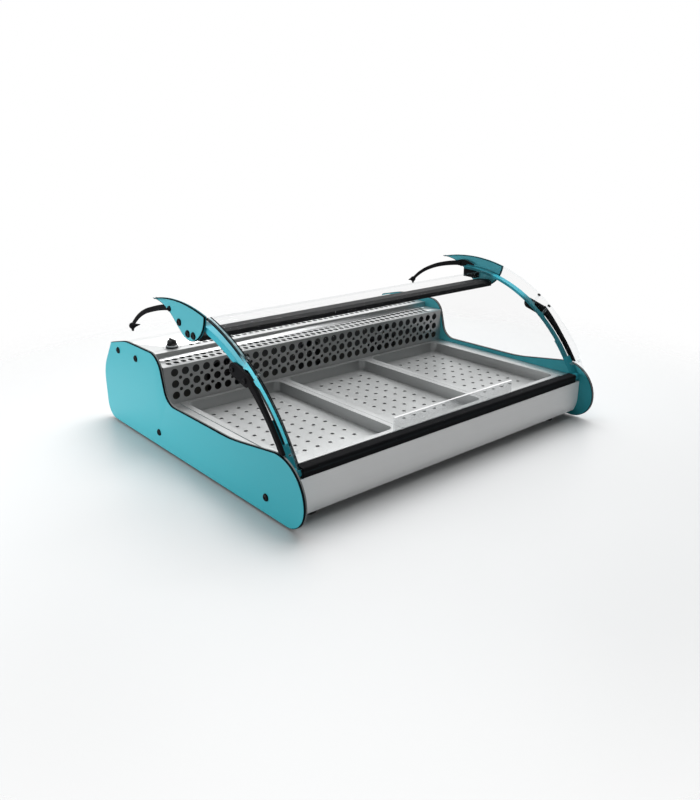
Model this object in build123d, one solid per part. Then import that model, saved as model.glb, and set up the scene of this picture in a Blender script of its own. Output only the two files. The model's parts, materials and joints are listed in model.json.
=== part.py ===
from build123d import *
import os
from math import asin, atan2, cos, degrees, hypot, radians, sin, tan

os.makedirs("parts", exist_ok=True)

# Counter-top fish display case: two shaped side panels carry a chilled well with three
# lift-out trays, a rear air housing, and a curved glass canopy that tilts forward on the front rail.
# Millimetres. +X is right, -Y is the customer's side, +Z is up.
# The origin lies on the counter under the middle of the case.

# Case
CASE_WIDTH = 1050.0
CASE_DEPTH = 956.0
PANEL_THICKNESS = 10.0
PANEL_LIFT = 4.0
BOARD_CHAMFER = 1.5
CORNER_SHARE = 0.99
PAN_UNDERSIDE = 20.0
SHEET = 1.5
END_PLATE = 2.0
SIDE_GAP = 0.5
SCREW_GAP = 0.05
RUNNING_GAP = 0.3
SHAFT_GAP = 0.05

# Side panel outline: heights above the counter, and lengths from the nose or the rear edge
DECK_EDGE_Z = 139.5
NOSE_RISE = 38.5
NOSE_RUN = 273.0
NOSE_LOWER_RADIUS = 64.0
NOSE_UPPER_RADIUS = 94.0
DECK_BLEND_RADIUS = 500.0
HUMP_TOP_Z = 262.0
HUMP_LENGTH = 347.0
HUMP_FOOT_RUN = 31.0
HUMP_FOOT_RADIUS = 48.0
HUMP_BROW_RADIUS = 55.0
HUMP_REAR_RUN = 160.0
HUMP_REAR_RADIUS = 200.0
SHOULDER_DROP = 22.0
SHOULDER_RUN = 66.0
SHOULDER_RADIUS = 8.0
BACK_TOP_Z = 152.0
BACK_RADIUS = 110.0
HEEL_RADIUS = 45.0
PANEL_BOLT_LOW_Z = 46.0
PANEL_BOLT_DROP = 36.0
PANEL_BOLT_FROM_NOSE = 137.0
PANEL_BOLTS_FROM_REAR = (324.0, 222.0, 114.0)

# Bolts with dome heads
BOLT_HEAD_RADIUS = 7.0
BOLT_HEAD_HEIGHT = 4.4
BOLT_HEAD_ROUND = 3.6
BOLT_SOCKET = 5.0
BOLT_SOCKET_DEPTH = 2.4
PANEL_BOLT_RADIUS = 4.0
PANEL_NUT_THICKNESS = 4.0
SMALL_BOLT_RADIUS = 2.5
FIN_BOLT_RADIUS = 3.0
FIN_BOLT_REACH = 16.0
LEG_BOLT_REACH = 11.0

# Front rail, front panel and feet
RAIL_SETBACK = 44.0
RAIL_DEPTH = 28.0
RAIL_HEIGHT = 24.0
RAIL_WALL = 3.0
RAIL_ROUND = 4.0
RAIL_ABOVE_RIM = 10.0
RAIL_OVERHANG = 2.0
FRONT_SHEET = 2.0
FRONT_BEND_DROP = 49.0
FRONT_TUCK = 10.0
FOOT_RADIUS = 20.0
FOOT_SIDE_INSET = 85.0
FOOT_FRONT_INSET = 100.0
FOOT_REAR_INSET = 70.0
PAN_LIP = 14.0

# Well, trays and ticket rail
RIM_DROP = 12.5
LINER_WALL = 2.0
WELL_DEPTH = 65.0
TICKET_STRIP = 14.0
TICKET_GAP = 0.5
TICKET_THICKNESS = 6.0
TICKET_HEIGHT = 40.0
TICKET_FOOT = 3.0
TICKET_LENGTH = 434.0
TICKET_SHIFT = 19.0
TRAY_COUNT = 3
TRAY_SPACING = 1.0
TRAY_ARM_GAP = 13.0
TRAY_DEPTH = 30.0
TRAY_SHEET = 1.5
TRAY_FLANGE = 14.0
TRAY_SEAT = 12.0
TRAY_CORNER = 18.0
TRAY_GAP = 1.0
TRAY_HOLE_RADIUS = 5.0
TRAY_HOLE_PITCH = 38.0
BAR_TOP_WIDTH = 22.0
BAR_TOP_DEPTH = 8.0
INSULATION_SIDE = 10.0
DRAIN_FROM_SIDE = 225.0
DRAIN_FROM_GRILLE = 75.0
DRAIN_RADIUS = 12.5
DRAIN_BORE = 10.0
DRAIN_FLANGE = 22.0
DRAIN_FLANGE_THICKNESS = 2.0
DRAIN_BELOW_PAN = 14.0
DRAIN_TAIL_RADIUS = 11.5
STRAINER_THICKNESS = 2.5
STRAINER_HOLE_RADIUS = 2.0
STRAINER_HOLES = 8

# Rear housing
LIP_DROP = 32.0
TOP_DROP = 16.5
GRILLE_HOLE_RADIUS = 10.5
GRILLE_DOT_RADIUS = 5.0
GRILLE_PITCH = 31.2
GRILLE_ROW_PITCH = 31.0
GRILLE_ROW_RISE = 2.0
GRILLE_ROWS = 3
LIP_OVERHANG = 1.5
GRILLE_FROM_HUMP = 10.0
CHAMBER_BEHIND_GRILLE = 18.5
LIP_DEPTH = 76.0
STRIP_DEPTH = 19.0
SLOT_LENGTH = 14.0
SLOT_WIDTH = 9.0
SLOT_PITCH = 21.5
SLOT_ROW_GAP = 29.0
COVER_REAR_INSET = 16.0
COVER_BEND_RUN = 26.0
COVER_BEND_DROP = 9.0
COVER_SLOPE_RUN = 64.0
COVER_SLOPE_DROP = 90.0
CHAMBER_FLOOR = 25.0

# Fans, coil and services
FAN_BEHIND_LIP = 64.0
FAN_FROM_SIDE = 225.0
FAN_RADIUS = 55.0
FAN_TIP_GAP = 4.0
FAN_HUB_RADIUS = 25.0
FAN_HUB_LENGTH = 20.0
FAN_BLADES = 5
FAN_BLADE_PITCH = 32.0
FAN_BLADE_CHORD = 26.0
FAN_BLADE_THICKNESS = 2.0
BLADE_ROOT = 5.0
FAN_SHAFT_RADIUS = 3.0
MOTOR_RADIUS = 26.0
MOTOR_LENGTH = 36.0
MOTOR_BEHIND_PLATE = 14.0
BRACKET_RING = 3.0
BRACKET_LEG_RADIUS = 3.5
BRACKET_THICKNESS = 6.0
BRACKET_TURNS = (90, 210, 330)
COIL_BEHIND_PLATE = 64.0
COIL_DEPTH = 90.0
COIL_HEIGHT = 128.0
COIL_LIFT = 15.0
COIL_FIN = 1.2
COIL_FIN_COUNT = 40
COIL_TUBE_RADIUS = 5.0
COIL_TUBE_ROWS = 4
COIL_TUBE_INSET = 22.5
COIL_END_PLATE = 2.0
COIL_END_STEP = 6.0
COIL_TUBE_END = 14.0
DRIP_MARGIN = 5.0
DRIP_HEIGHT = 12.0
PIPE_SIDE_ROOM = 45.0
PIPE_OUTREACH = 24.0
PIPE_BEND = 18.0
PIPE_STUB = 12.0
PIPE_NUT_RADIUS = 9.0
PIPE_NUT_LENGTH = 9.0
BOX_LENGTH = 100.0
BOX_FROM_SIDE = 195.0
BOX_DEPTH = 66.0
BOX_HEIGHT = 74.0
GLAND_RADIUS = 8.0
GLAND_HEAD_RADIUS = 11.0
GLAND_HEAD_LENGTH = 11.0
GLAND_Z = 60.0
GLAND_BORE = 4.5
GLAND_ROUND = 2.5
SWITCH_FROM_SIDE = 225.0
SWITCH_Z = 95.0
SWITCH_SPACING = 30.0
SWITCH_PLATE = 2.5
SWITCH_WIDTH = 16.0
SWITCH_HALF_HEIGHT = 10.0
SWITCH_AXIS_DEPTH = 4.0
SWITCH_PROUD = 9.0
SWITCH_TILT = 7.0
SWITCH_AXLE = 1.5
SWITCH_EAR = 3.0
SWITCH_MARGIN = 8.0
SWITCH_CUT_GAP = 2.0
SWITCH_DISH = 3.0
KNOB_FROM_SIDE = 85.0
KNOB_BEHIND_STRIP = 16.0
KNOB_RADIUS = 14.0
KNOB_HEIGHT = 13.0
KNOB_CAP = 3.5
KNOB_ROUND = 2.0
KNOB_GRIP = 4.0
COLLAR_RADIUS = 17.0
COLLAR_HEIGHT = 7.0
KNOB_SHAFT = 3.0
KNOB_BUSH = 5.0
KNOB_BUSH_DEPTH = 10.0

# Canopy: every arc is drawn about one centre that follows from the hinge
GLASS_RADIUS = 511.0
GLASS_THICKNESS = 6.0
GLASS_STANDOFF = 24.0
GLASS_TOP_ANGLE = 15.4
GLASS_FOOT_ANGLE = 64.0
GLASS_SIDE_LAP = 6.0
GLASS_NOTCH_ANGLE = 57.0
GLASS_SIDE_GAP = 1.5
ARM_THICKNESS = 8.0
ARM_WIDTH = 20.0
ARM_SIDE_GAP = 1.0
ARM_TOP_ANGLE = -0.4
HINGE_ANGLE = 63.6
HINGE_INSET = 34.0
HINGE_PIN_RADIUS = 4.0
HINGE_PLUG_LENGTH = 22.0
HINGE_ARM_GAP = 2.5
SHOE_ANGLE = 56.0
SHOE_PROUD = 0.6
SHOE_UNDER = 1.0
SHOE_BOSS_RADIUS = 11.0
SHOE_TONGUE = 8.0
SHOE_TONGUE_WIDTH = 12.5
SHOE_TONGUE_ANGLE = 7.0
STUD_ANGLES = (33.0, 38.2)
STUD_FROM_EDGE = 4.6
SHOE_STUD_ANGLE = 59.0
STUD_RADIUS = 2.5
STUD_SLEEVE_RADIUS = 4.0
STUD_SINK = 7.0
STUD_HOLE_GAP = 1.0
CAP_RADIUS = 5.0
CAP_HEIGHT = 2.6
CAP_BORE_DEPTH = 1.2
CAP_ROUND = 1.0
LEG_THICKNESS = 8.5
LEG_WIDTH = 20.0
LEG_OUT_STEP = 2.0
LEG_LOBE_RADIUS = 15.0
LEG_END_RADIUS = 46.0
LEG_LOBE_INSET = 10.0
LEG_LOBE_ANGLE = 30.9
LEG_SECOND_ANGLE = 36.6
CLAMP_DEPTH = 18.0
CLAMP_LENGTH = 13.0
CLAMP_ANGLES = (30.0, 34.0)
FIN_THICKNESS = 8.0
FIN_FRONT_ANGLE = 14.8
FIN_TIP_ANGLE = -13.6
FIN_BLOCK_DEPTH = 25.0
FIN_BLOCK_LENGTH = 18.0
FIN_BLOCK_ANGLES = (-1.0, 5.0)
FIN_BLOCK_BOLT_ANGLE = 1.6
FIN_BLOCK_BOLT_INSET = 50.0
LIGHT_BAR_INSET = 69.0
LIGHT_BAR_ANGLE = 8.3
LIGHT_BAR_DEPTH = 57.0
LIGHT_BAR_HEIGHT = 19.0
LIGHT_BAR_BROW = 11.5
LIGHT_BAR_FALL = 3.5
LIGHT_BAR_NOSE = 12.5
LIGHT_BAR_ROUND = 2.0
LIGHT_BAR_BOLT_SPACING = 26.0
LIGHT_BAR_BOLT_RISE = 2.5
LAMP_GROOVE_WIDTH = 32.0
LAMP_GROOVE_DEPTH = 7.0
LAMP_STRIP = 3.0
LAMP_END_GAP = 40.0
LAMP_PROUD = 1.5
LAMP_SIDE_GAP = 0.1
HOOK_THICKNESS = 8.0
HOOK_PIVOT_ANGLE = -3.6
HOOK_PIVOT_INSET = 24.5
HOOK_MIDDLE_INSET = 26.0
HOOK_END_ANGLE = -32.6
HOOK_END_INSET = 35.0
HOOK_EYE_RADIUS = 11.0
HOOK_ROOT_WIDTH = 16.0
HOOK_END_WIDTH = 11.0
HOOK_STEP_OUT = 10.0
HOOK_STEP_ANGLES = (-17.2, -14.9)
HOOK_PLATE = 5.0
HOOK_PIN_RADIUS = 4.0
HOOK_NUT_THICKNESS = 5.0
HOOK_BALL_RADIUS = 8.0
HOOK_STUB_RADIUS = 3.0
HOOK_STUB_LENGTH = 30.0
HOOK_NUB_RADIUS = 3.5
HOOK_NUB_LENGTH = 14.0

# Fin outline below the arc, as steps from the light bar's centre
FIN_LOBE_FRONT = (-27.0, -4.5)
FIN_LOBE_BOTTOM = (6.5, -14.5)
FIN_LOBE_REAR = (38.0, -7.5)
FIN_HEEL = (74.0, 21.0)
FIN_HOLLOW = (107.0, 44.0)
FIN_BROW = (-50.5, 16.0)

# Retaining plate outline, as steps from the hook's pivot
HOOK_PLATE_TIPS = ((30.0, -0.4), (-59.8, -0.8))
HOOK_PLATE_CROWN = (2.2, 10.6)
HOOK_PLATE_NOTCH = (-25.8, 0.2)
HOOK_PLATE_FOOT = ((-22.8, -7.4), (14.2, -7.4))

# Places worked out from the sizes above
HALF_WIDTH = CASE_WIDTH / 2
PANEL_INNER = HALF_WIDTH - PANEL_THICKNESS
PLATE_INNER = PANEL_INNER - END_PLATE
COVER_HALF = PANEL_INNER - SIDE_GAP
ARM_OUTER_X = PANEL_INNER - ARM_SIDE_GAP
ARM_INNER_X = ARM_OUTER_X - ARM_WIDTH
NOSE_Y = -CASE_DEPTH / 2
REAR_Y = CASE_DEPTH / 2
PAN_FLOOR = PAN_UNDERSIDE + SHEET
RIM_Z = DECK_EDGE_Z - RIM_DROP
RAIL_TOP = RIM_Z + RAIL_ABOVE_RIM
RAIL_BOTTOM = RAIL_TOP - RAIL_HEIGHT
RAIL_FRONT = NOSE_Y + RAIL_SETBACK
RAIL_REAR = RAIL_FRONT + RAIL_DEPTH
HINGE_Y = RAIL_FRONT + RAIL_DEPTH / 2
HINGE_Z = RAIL_TOP - RAIL_HEIGHT / 2
FRONT_Y = RAIL_FRONT + RAIL_OVERHANG
PAN_FRONT = FRONT_Y + FRONT_TUCK + FRONT_SHEET
COVER_REAR = REAR_Y - COVER_REAR_INSET
PAN_REAR = COVER_REAR - SHEET

HUMP_FRONT_Y = REAR_Y - HUMP_LENGTH
LIP_Z = HUMP_TOP_Z - LIP_DROP
TOP_Z = HUMP_TOP_Z - TOP_DROP
GRILLE_Y = HUMP_FRONT_Y - GRILLE_FROM_HUMP
LIP_FRONT = GRILLE_Y - LIP_OVERHANG
RISER_Y = LIP_FRONT + LIP_DEPTH
STRIP_REAR = RISER_Y + STRIP_DEPTH
COVER_BEND_Y = COVER_REAR - COVER_SLOPE_RUN - COVER_BEND_RUN
COVER_EDGE_Y = COVER_REAR - COVER_SLOPE_RUN
COVER_EDGE_Z = TOP_Z - COVER_BEND_DROP
COVER_WALL_Z = COVER_EDGE_Z - COVER_SLOPE_DROP
CHAMBER_Z = PAN_FLOOR + CHAMBER_FLOOR
CHAMBER_FRONT = GRILLE_Y + CHAMBER_BEHIND_GRILLE

TRAY_FRONT = RAIL_REAR + 2 * TICKET_GAP + TICKET_STRIP
TRAY_REAR = LIP_FRONT - LIP_OVERHANG
WELL_FRONT = TRAY_FRONT + TRAY_SEAT
WELL_REAR = TRAY_REAR - TRAY_SEAT
TRAY_PITCH = (2 * (ARM_INNER_X - TRAY_ARM_GAP) + TRAY_SPACING) / TRAY_COUNT
TRAY_WIDTH = TRAY_PITCH - TRAY_SPACING
WELL_HALF = TRAY_PITCH + TRAY_WIDTH / 2 - TRAY_SEAT
WELL_FLOOR = RIM_Z - WELL_DEPTH
RIM_REAR = CHAMBER_FRONT
DRAIN_X = -HALF_WIDTH + DRAIN_FROM_SIDE
DRAIN_Y = GRILLE_Y - DRAIN_FROM_GRILLE

FAN_PLATE_Y = LIP_FRONT + FAN_BEHIND_LIP
FAN_Z = (CHAMBER_Z + LIP_Z) / 2
FAN_XS = (-HALF_WIDTH + FAN_FROM_SIDE, 0.0, HALF_WIDTH - FAN_FROM_SIDE)
MOTOR_FRONT = FAN_PLATE_Y + SHEET + MOTOR_BEHIND_PLATE
COIL_FRONT = FAN_PLATE_Y + SHEET + COIL_BEHIND_PLATE
COIL_BASE = CHAMBER_Z + SHEET
PIPE_X = PLATE_INNER - PIPE_SIDE_ROOM
COIL_HALF_LENGTH = PIPE_X - PIPE_OUTREACH - COIL_TUBE_END
PIPE_Y = COIL_FRONT + COIL_DEPTH - COIL_TUBE_INSET
BOX_X = HALF_WIDTH - BOX_FROM_SIDE
SWITCH_X = -HALF_WIDTH + SWITCH_FROM_SIDE
SWITCH_Y = COVER_REAR - SWITCH_AXIS_DEPTH
SWITCH_PLATE_HALF = (SWITCH_SPACING + SWITCH_WIDTH) / 2 + SWITCH_EAR + RUNNING_GAP + SWITCH_MARGIN
KNOB_X = -HALF_WIDTH + KNOB_FROM_SIDE + PANEL_THICKNESS
KNOB_Y = STRIP_REAR + KNOB_BEHIND_STRIP

GLASS_IN = GLASS_RADIUS - GLASS_THICKNESS
ARM_OUT = GLASS_IN - GLASS_STANDOFF
ARM_IN = ARM_OUT - ARM_THICKNESS
HINGE_REACH = GLASS_RADIUS - HINGE_INSET
ARC_Y = HINGE_Y + HINGE_REACH * sin(radians(HINGE_ANGLE))
ARC_Z = HINGE_Z - HINGE_REACH * cos(radians(HINGE_ANGLE))
STUD_X = ARM_OUTER_X - STUD_FROM_EDGE
SHOE_STUD_X = (ARM_INNER_X + ARM_OUTER_X) / 2
RAIL_HALF = ARM_INNER_X - HINGE_ARM_GAP
GLASS_HALF = PANEL_INNER + GLASS_SIDE_LAP
GLASS_FOOT_HALF = PANEL_INNER - GLASS_SIDE_GAP
LEG_INNER_X = PANEL_INNER + (PANEL_THICKNESS - LEG_THICKNESS) / 2
LEG_OUTER_X = LEG_INNER_X + LEG_THICKNESS
LEG_IN = ARM_IN + LEG_OUT_STEP
FIN_INNER_X = HALF_WIDTH - FIN_THICKNESS
HOOK_OUTER_X = FIN_INNER_X - RUNNING_GAP
HOOK_INNER_X = HOOK_OUTER_X - HOOK_THICKNESS


def on_arc(radius, angle):
    """Side-view point (y, z) about the canopy's centre; the angle runs from upright to the front."""
    turn = radians(angle)
    return (ARC_Y - radius * sin(turn), ARC_Z + radius * cos(turn))


LIGHT_BAR_Y, LIGHT_BAR_Z = on_arc(GLASS_RADIUS - LIGHT_BAR_INSET, LIGHT_BAR_ANGLE)
HOOK_PIVOT = on_arc(GLASS_RADIUS - HOOK_PIVOT_INSET, HOOK_PIVOT_ANGLE)
LEG_BOLTS = (
    on_arc(ARM_IN - LEG_LOBE_INSET, LEG_LOBE_ANGLE),
    on_arc(ARM_IN + ARM_THICKNESS / 2, LEG_SECOND_ANGLE),
)
FIN_BLOCK_BOLT = on_arc(GLASS_RADIUS - FIN_BLOCK_BOLT_INSET, FIN_BLOCK_BOLT_ANGLE)
LIGHT_BAR_BOLTS = [
    (LIGHT_BAR_Y + side * LIGHT_BAR_BOLT_SPACING / 2, LIGHT_BAR_Z + LIGHT_BAR_BOLT_RISE)
    for side in (-1, 1)
]
PANEL_BOLT_PLACES = [
    (NOSE_Y + PANEL_BOLT_FROM_NOSE, PANEL_BOLT_LOW_Z),
    (REAR_Y - PANEL_BOLTS_FROM_REAR[0], PANEL_BOLT_LOW_Z),
    (REAR_Y - PANEL_BOLTS_FROM_REAR[1], HUMP_TOP_Z - PANEL_BOLT_DROP),
    (REAR_Y - PANEL_BOLTS_FROM_REAR[2], HUMP_TOP_Z - PANEL_BOLT_DROP),
]


def save(name, *solids):
    """Write one sub-part, of one solid or of several alike."""
    shapes = []
    for solid in solids:
        shapes += solid.solids()
    export_step(shapes[0] if len(shapes) == 1 else Compound(shapes), f"parts/{name}.step")


def both(right):
    """A right-hand solid and its mirror image."""
    return mirror(right, about=Plane.YZ), right


def block(x_range, y_range, z_range):
    """Box between two limits on each axis."""
    spans = (x_range, y_range, z_range)
    middle = [(low + high) / 2 for low, high in spans]
    return Pos(*middle) * Box(*[high - low for low, high in spans])


def plate(face, x_low, thickness):
    """Side-view face made solid along +X from x_low."""
    return extrude(Plane.YZ.offset(x_low) * face, amount=thickness)


def rod_x(radius, x_range, y, z):
    """Round bar along X."""
    low, high = x_range
    return Pos((low + high) / 2, y, z) * Rot(0, 90, 0) * Cylinder(radius, high - low)


def rod_y(radius, x, y_range, z):
    """Round bar along Y."""
    low, high = y_range
    return Pos(x, (low + high) / 2, z) * Rot(90, 0, 0) * Cylinder(radius, high - low)


def rod_z(radius, x, y, z_range):
    """Round bar along Z."""
    low, high = z_range
    return Pos(x, y, (low + high) / 2) * Cylinder(radius, high - low)


def spoke(radius, x, angle, reach):
    """Round bar along the canopy's radius at an angle, between two radii."""
    low, high = reach
    y, z = on_arc((low + high) / 2, angle)
    return Pos(x, y, z) * Rot(angle, 0, 0) * Cylinder(radius, high - low)


def rounded(corners):
    """Closed outline of (u, v, radius) corners; each radius is limited by the walls beside it."""
    points = [Vector(u, v) for u, v, _ in corners]
    count = len(points)
    tangents = []
    for i in range(count):
        turn = (points[i] - points[i - 1]).get_angle(points[(i + 1) % count] - points[i])
        tangents.append(corners[i][2] * tan(radians(turn) / 2))
    scales = [1.0] * count
    for i in range(count):
        after = (i + 1) % count
        taken = tangents[i] + tangents[after]
        room = CORNER_SHARE * (points[after] - points[i]).length
        if taken > room:
            scales[i] = min(scales[i], room / taken)
            scales[after] = min(scales[after], room / taken)
    radii = [corners[i][2] * scales[i] for i in range(count)]
    return make_face(FilletPolyline(*points, radius=radii, close=True))


def sector(inner, outer, start, end):
    """Ring sector about the canopy's centre in the side view."""
    middle = (start + end) / 2
    return make_face([
        ThreePointArc(on_arc(outer, start), on_arc(outer, middle), on_arc(outer, end)),
        Line(on_arc(outer, end), on_arc(inner, end)),
        ThreePointArc(on_arc(inner, end), on_arc(inner, middle), on_arc(inner, start)),
        Line(on_arc(inner, start), on_arc(outer, start)),
    ])


def sheet_profile(points, thickness):
    """Folded sheet in the side view: its outer line, with the metal on the line's right-hand side."""
    vectors = [Vector(u, v) for u, v in points]
    normals = []
    for start, end in zip(vectors, vectors[1:]):
        along = (end - start).normalized()
        normals.append(Vector(along.Y, -along.X))
    inner = [vectors[0] + normals[0] * thickness]
    for before, after, corner in zip(normals, normals[1:], vectors[1:]):
        halfway = (before + after).normalized()
        inner.append(corner + halfway * (thickness / halfway.dot(after)))
    inner.append(vectors[-1] + normals[-1] * thickness)
    return make_face(Polyline(*vectors, *reversed(inner), close=True))


def dome_bolt(shank_radius, reach, nut=0.0):
    """Bolt along +X with its head's seat at x = 0, its shank towards -X and an optional nut at the end."""
    head = Cylinder(BOLT_HEAD_RADIUS, BOLT_HEAD_HEIGHT, align=(Align.CENTER, Align.CENTER, Align.MIN))
    head = fillet(head.edges().group_by(Axis.Z)[-1], BOLT_HEAD_ROUND)
    socket = RegularPolygon(BOLT_SOCKET / 2, 6, major_radius=False)
    head -= extrude(Pos(0, 0, BOLT_HEAD_HEIGHT) * socket, amount=-BOLT_SOCKET_DEPTH)
    bolt = head + Cylinder(shank_radius, reach, align=(Align.CENTER, Align.CENTER, Align.MAX))
    if nut:
        hexagon = RegularPolygon(BOLT_HEAD_RADIUS, 6)
        bolt += extrude(Pos(0, 0, nut - reach) * hexagon, amount=-nut)
    return Rot(0, 90, 0) * bolt


def panel_outline():
    """Side panel: low nose in front, a dip beside the display and a hump over the rear housing."""
    return rounded([
        (REAR_Y, PANEL_LIFT, HEEL_RADIUS),
        (REAR_Y, BACK_TOP_Z, BACK_RADIUS),
        (REAR_Y - SHOULDER_RUN, HUMP_TOP_Z - SHOULDER_DROP, SHOULDER_RADIUS),
        (REAR_Y - HUMP_REAR_RUN, HUMP_TOP_Z, HUMP_REAR_RADIUS),
        (HUMP_FRONT_Y, HUMP_TOP_Z, HUMP_BROW_RADIUS),
        (HUMP_FRONT_Y - HUMP_FOOT_RUN, DECK_EDGE_Z, HUMP_FOOT_RADIUS),
        (NOSE_Y + NOSE_RUN, DECK_EDGE_Z, DECK_BLEND_RADIUS),
        (NOSE_Y, DECK_EDGE_Z + NOSE_RISE, NOSE_UPPER_RADIUS),
        (NOSE_Y, PANEL_LIFT, NOSE_LOWER_RADIUS),
    ])


def side_panels():
    """Left and right boards with eased edges and bolt holes."""
    board = plate(panel_outline(), PANEL_INNER, PANEL_THICKNESS)
    ends = board.faces().sort_by(Axis.X)
    board = chamfer(ends[0].outer_wire().edges() + ends[-1].outer_wire().edges(), BOARD_CHAMFER)
    for y, z in PANEL_BOLT_PLACES:
        board -= rod_x(PANEL_BOLT_RADIUS + SCREW_GAP, (PANEL_INNER, HALF_WIDTH), y, z)
    left, right = both(board)
    save("left_side_panel", left)
    save("right_side_panel", right)


def panel_bolts():
    """Four bolts through each side panel and end plate."""
    reach = PANEL_THICKNESS + END_PLATE + PANEL_NUT_THICKNESS
    bolts = []
    for y, z in PANEL_BOLT_PLACES:
        bolts += both(Pos(HALF_WIDTH, y, z) * dome_bolt(PANEL_BOLT_RADIUS, reach, PANEL_NUT_THICKNESS))
    save("panel_bolts", *bolts)


def end_plates():
    """Steel plates on the side panels' inner faces that the well and the covers stand between."""
    margin = SHEET + SIDE_GAP
    corners = [
        (RAIL_REAR, PAN_UNDERSIDE),
        (PAN_REAR - SIDE_GAP, PAN_UNDERSIDE),
        (PAN_REAR - SIDE_GAP, COVER_WALL_Z - margin),
        (COVER_EDGE_Y - margin, COVER_EDGE_Z - margin),
        (COVER_BEND_Y - margin, TOP_Z - SHEET),
        (RISER_Y + margin, TOP_Z - SHEET),
        (RISER_Y + margin, LIP_Z - margin),
        (CHAMBER_FRONT, LIP_Z - margin),
        (CHAMBER_FRONT, RIM_Z - LINER_WALL),
        (RAIL_REAR, RIM_Z - LINER_WALL),
    ]
    right = plate(make_face(Polyline(*corners, close=True)), PLATE_INNER, END_PLATE)
    for y, z in PANEL_BOLT_PLACES:
        right -= rod_x(PANEL_BOLT_RADIUS + SCREW_GAP, (PLATE_INNER, PANEL_INNER), y, z)
    save("end_plates", *both(right))


def base_pan():
    """Floor sheet with a turned-up lip in front and behind."""
    width = (-PLATE_INNER, PLATE_INNER)
    pan = block(width, (PAN_FRONT, PAN_REAR), (PAN_UNDERSIDE, PAN_FLOOR))
    pan += block(width, (PAN_FRONT, PAN_FRONT + SHEET), (PAN_UNDERSIDE, PAN_FLOOR + PAN_LIP))
    pan += block(width, (PAN_REAR - SHEET, PAN_REAR), (PAN_UNDERSIDE, PAN_FLOOR + PAN_LIP))
    pan -= rod_z(DRAIN_RADIUS + SCREW_GAP, DRAIN_X, DRAIN_Y, (PAN_UNDERSIDE, PAN_FLOOR))
    save("base_pan", pan)


def rubber_feet():
    """Four round feet under the base pan."""
    feet = []
    for x in (-HALF_WIDTH + FOOT_SIDE_INSET, HALF_WIDTH - FOOT_SIDE_INSET):
        for y in (NOSE_Y + FOOT_FRONT_INSET, REAR_Y - FOOT_REAR_INSET):
            feet.append(rod_z(FOOT_RADIUS, x, y, (0, PAN_UNDERSIDE)))
    save("rubber_feet", *feet)


def insulation():
    """Foam round the well and under the coil chamber."""
    half = PLATE_INNER - INSULATION_SIDE
    foam = block((-half, half), (RAIL_REAR, CHAMBER_FRONT), (PAN_FLOOR, RIM_Z - LINER_WALL))
    foam += block(
        (-half, half),
        (CHAMBER_FRONT, COIL_FRONT + COIL_DEPTH + 2 * DRIP_MARGIN),
        (PAN_FLOOR, CHAMBER_Z),
    )
    foam -= block(
        (-WELL_HALF - LINER_WALL, WELL_HALF + LINER_WALL),
        (WELL_FRONT - LINER_WALL, WELL_REAR + LINER_WALL),
        (WELL_FLOOR - LINER_WALL, RIM_Z),
    )
    foam -= rod_z(DRAIN_RADIUS + SCREW_GAP, DRAIN_X, DRAIN_Y, (PAN_FLOOR, WELL_FLOOR))
    save("insulation", foam)


def well_liner():
    """Stainless tub of five welded sheets, whose upright ones fold out into a rim that carries the trays."""
    width = (-WELL_HALF - LINER_WALL, WELL_HALF + LINER_WALL)
    length = (WELL_FRONT - LINER_WALL, WELL_REAR + LINER_WALL)
    rim = (RIM_Z - LINER_WALL, RIM_Z)
    upright = (WELL_FLOOR, RIM_Z)
    floor = block(width, length, (WELL_FLOOR - LINER_WALL, WELL_FLOOR))
    floor -= rod_z(DRAIN_RADIUS + SCREW_GAP, DRAIN_X, DRAIN_Y, (WELL_FLOOR - LINER_WALL, WELL_FLOOR))
    front = block(width, (length[0], WELL_FRONT), upright)
    front += block((-COVER_HALF, COVER_HALF), (RAIL_REAR, WELL_FRONT), rim)
    rear = block(width, (WELL_REAR, length[1]), upright)
    rear += block((-COVER_HALF, COVER_HALF), (WELL_REAR, RIM_REAR), rim)
    side = block((WELL_HALF, width[1]), (WELL_FRONT, WELL_REAR), upright)
    side += block((WELL_HALF, COVER_HALF), (WELL_FRONT, WELL_REAR), rim)
    save("well_liner", floor, front, rear, *both(side))


def tray_bars():
    """Two bars across the well, flush with its rim, that carry the trays' meeting edges."""
    bars = []
    for x in (-TRAY_PITCH / 2, TRAY_PITCH / 2):
        span = (x - BAR_TOP_WIDTH / 2, x + BAR_TOP_WIDTH / 2)
        bars.append(block(span, (WELL_FRONT, WELL_REAR), (RIM_Z - BAR_TOP_DEPTH, RIM_Z)))
    save("tray_bars", *bars)


def tray(x):
    """Perforated tray hung by its flange on the well's rim."""
    length = TRAY_REAR - TRAY_FRONT
    centre = Pos(x, (TRAY_FRONT + TRAY_REAR) / 2, RIM_Z)
    pan_length = length - 2 * TRAY_SEAT - 2 * TRAY_GAP
    pan_width = TRAY_WIDTH - 2 * TRAY_FLANGE
    inner = RectangleRounded(pan_width - 2 * TRAY_SHEET, pan_length - 2 * TRAY_SHEET, TRAY_CORNER)
    outer = RectangleRounded(pan_width, pan_length, TRAY_CORNER + TRAY_SHEET)
    flange = RectangleRounded(TRAY_WIDTH, length, TRAY_CORNER / 2)
    columns = int((pan_width - TRAY_HOLE_PITCH) / TRAY_HOLE_PITCH)
    rows = int((pan_length - TRAY_HOLE_PITCH) / TRAY_HOLE_PITCH)
    holes = GridLocations(TRAY_HOLE_PITCH, TRAY_HOLE_PITCH, columns, rows) * Circle(TRAY_HOLE_RADIUS)
    body = extrude(flange - inner, amount=TRAY_SHEET)
    body += extrude(outer - inner, amount=-TRAY_DEPTH)
    body += extrude(Pos(0, 0, -TRAY_DEPTH) * (outer - holes), amount=TRAY_SHEET)
    return centre * body


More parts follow.
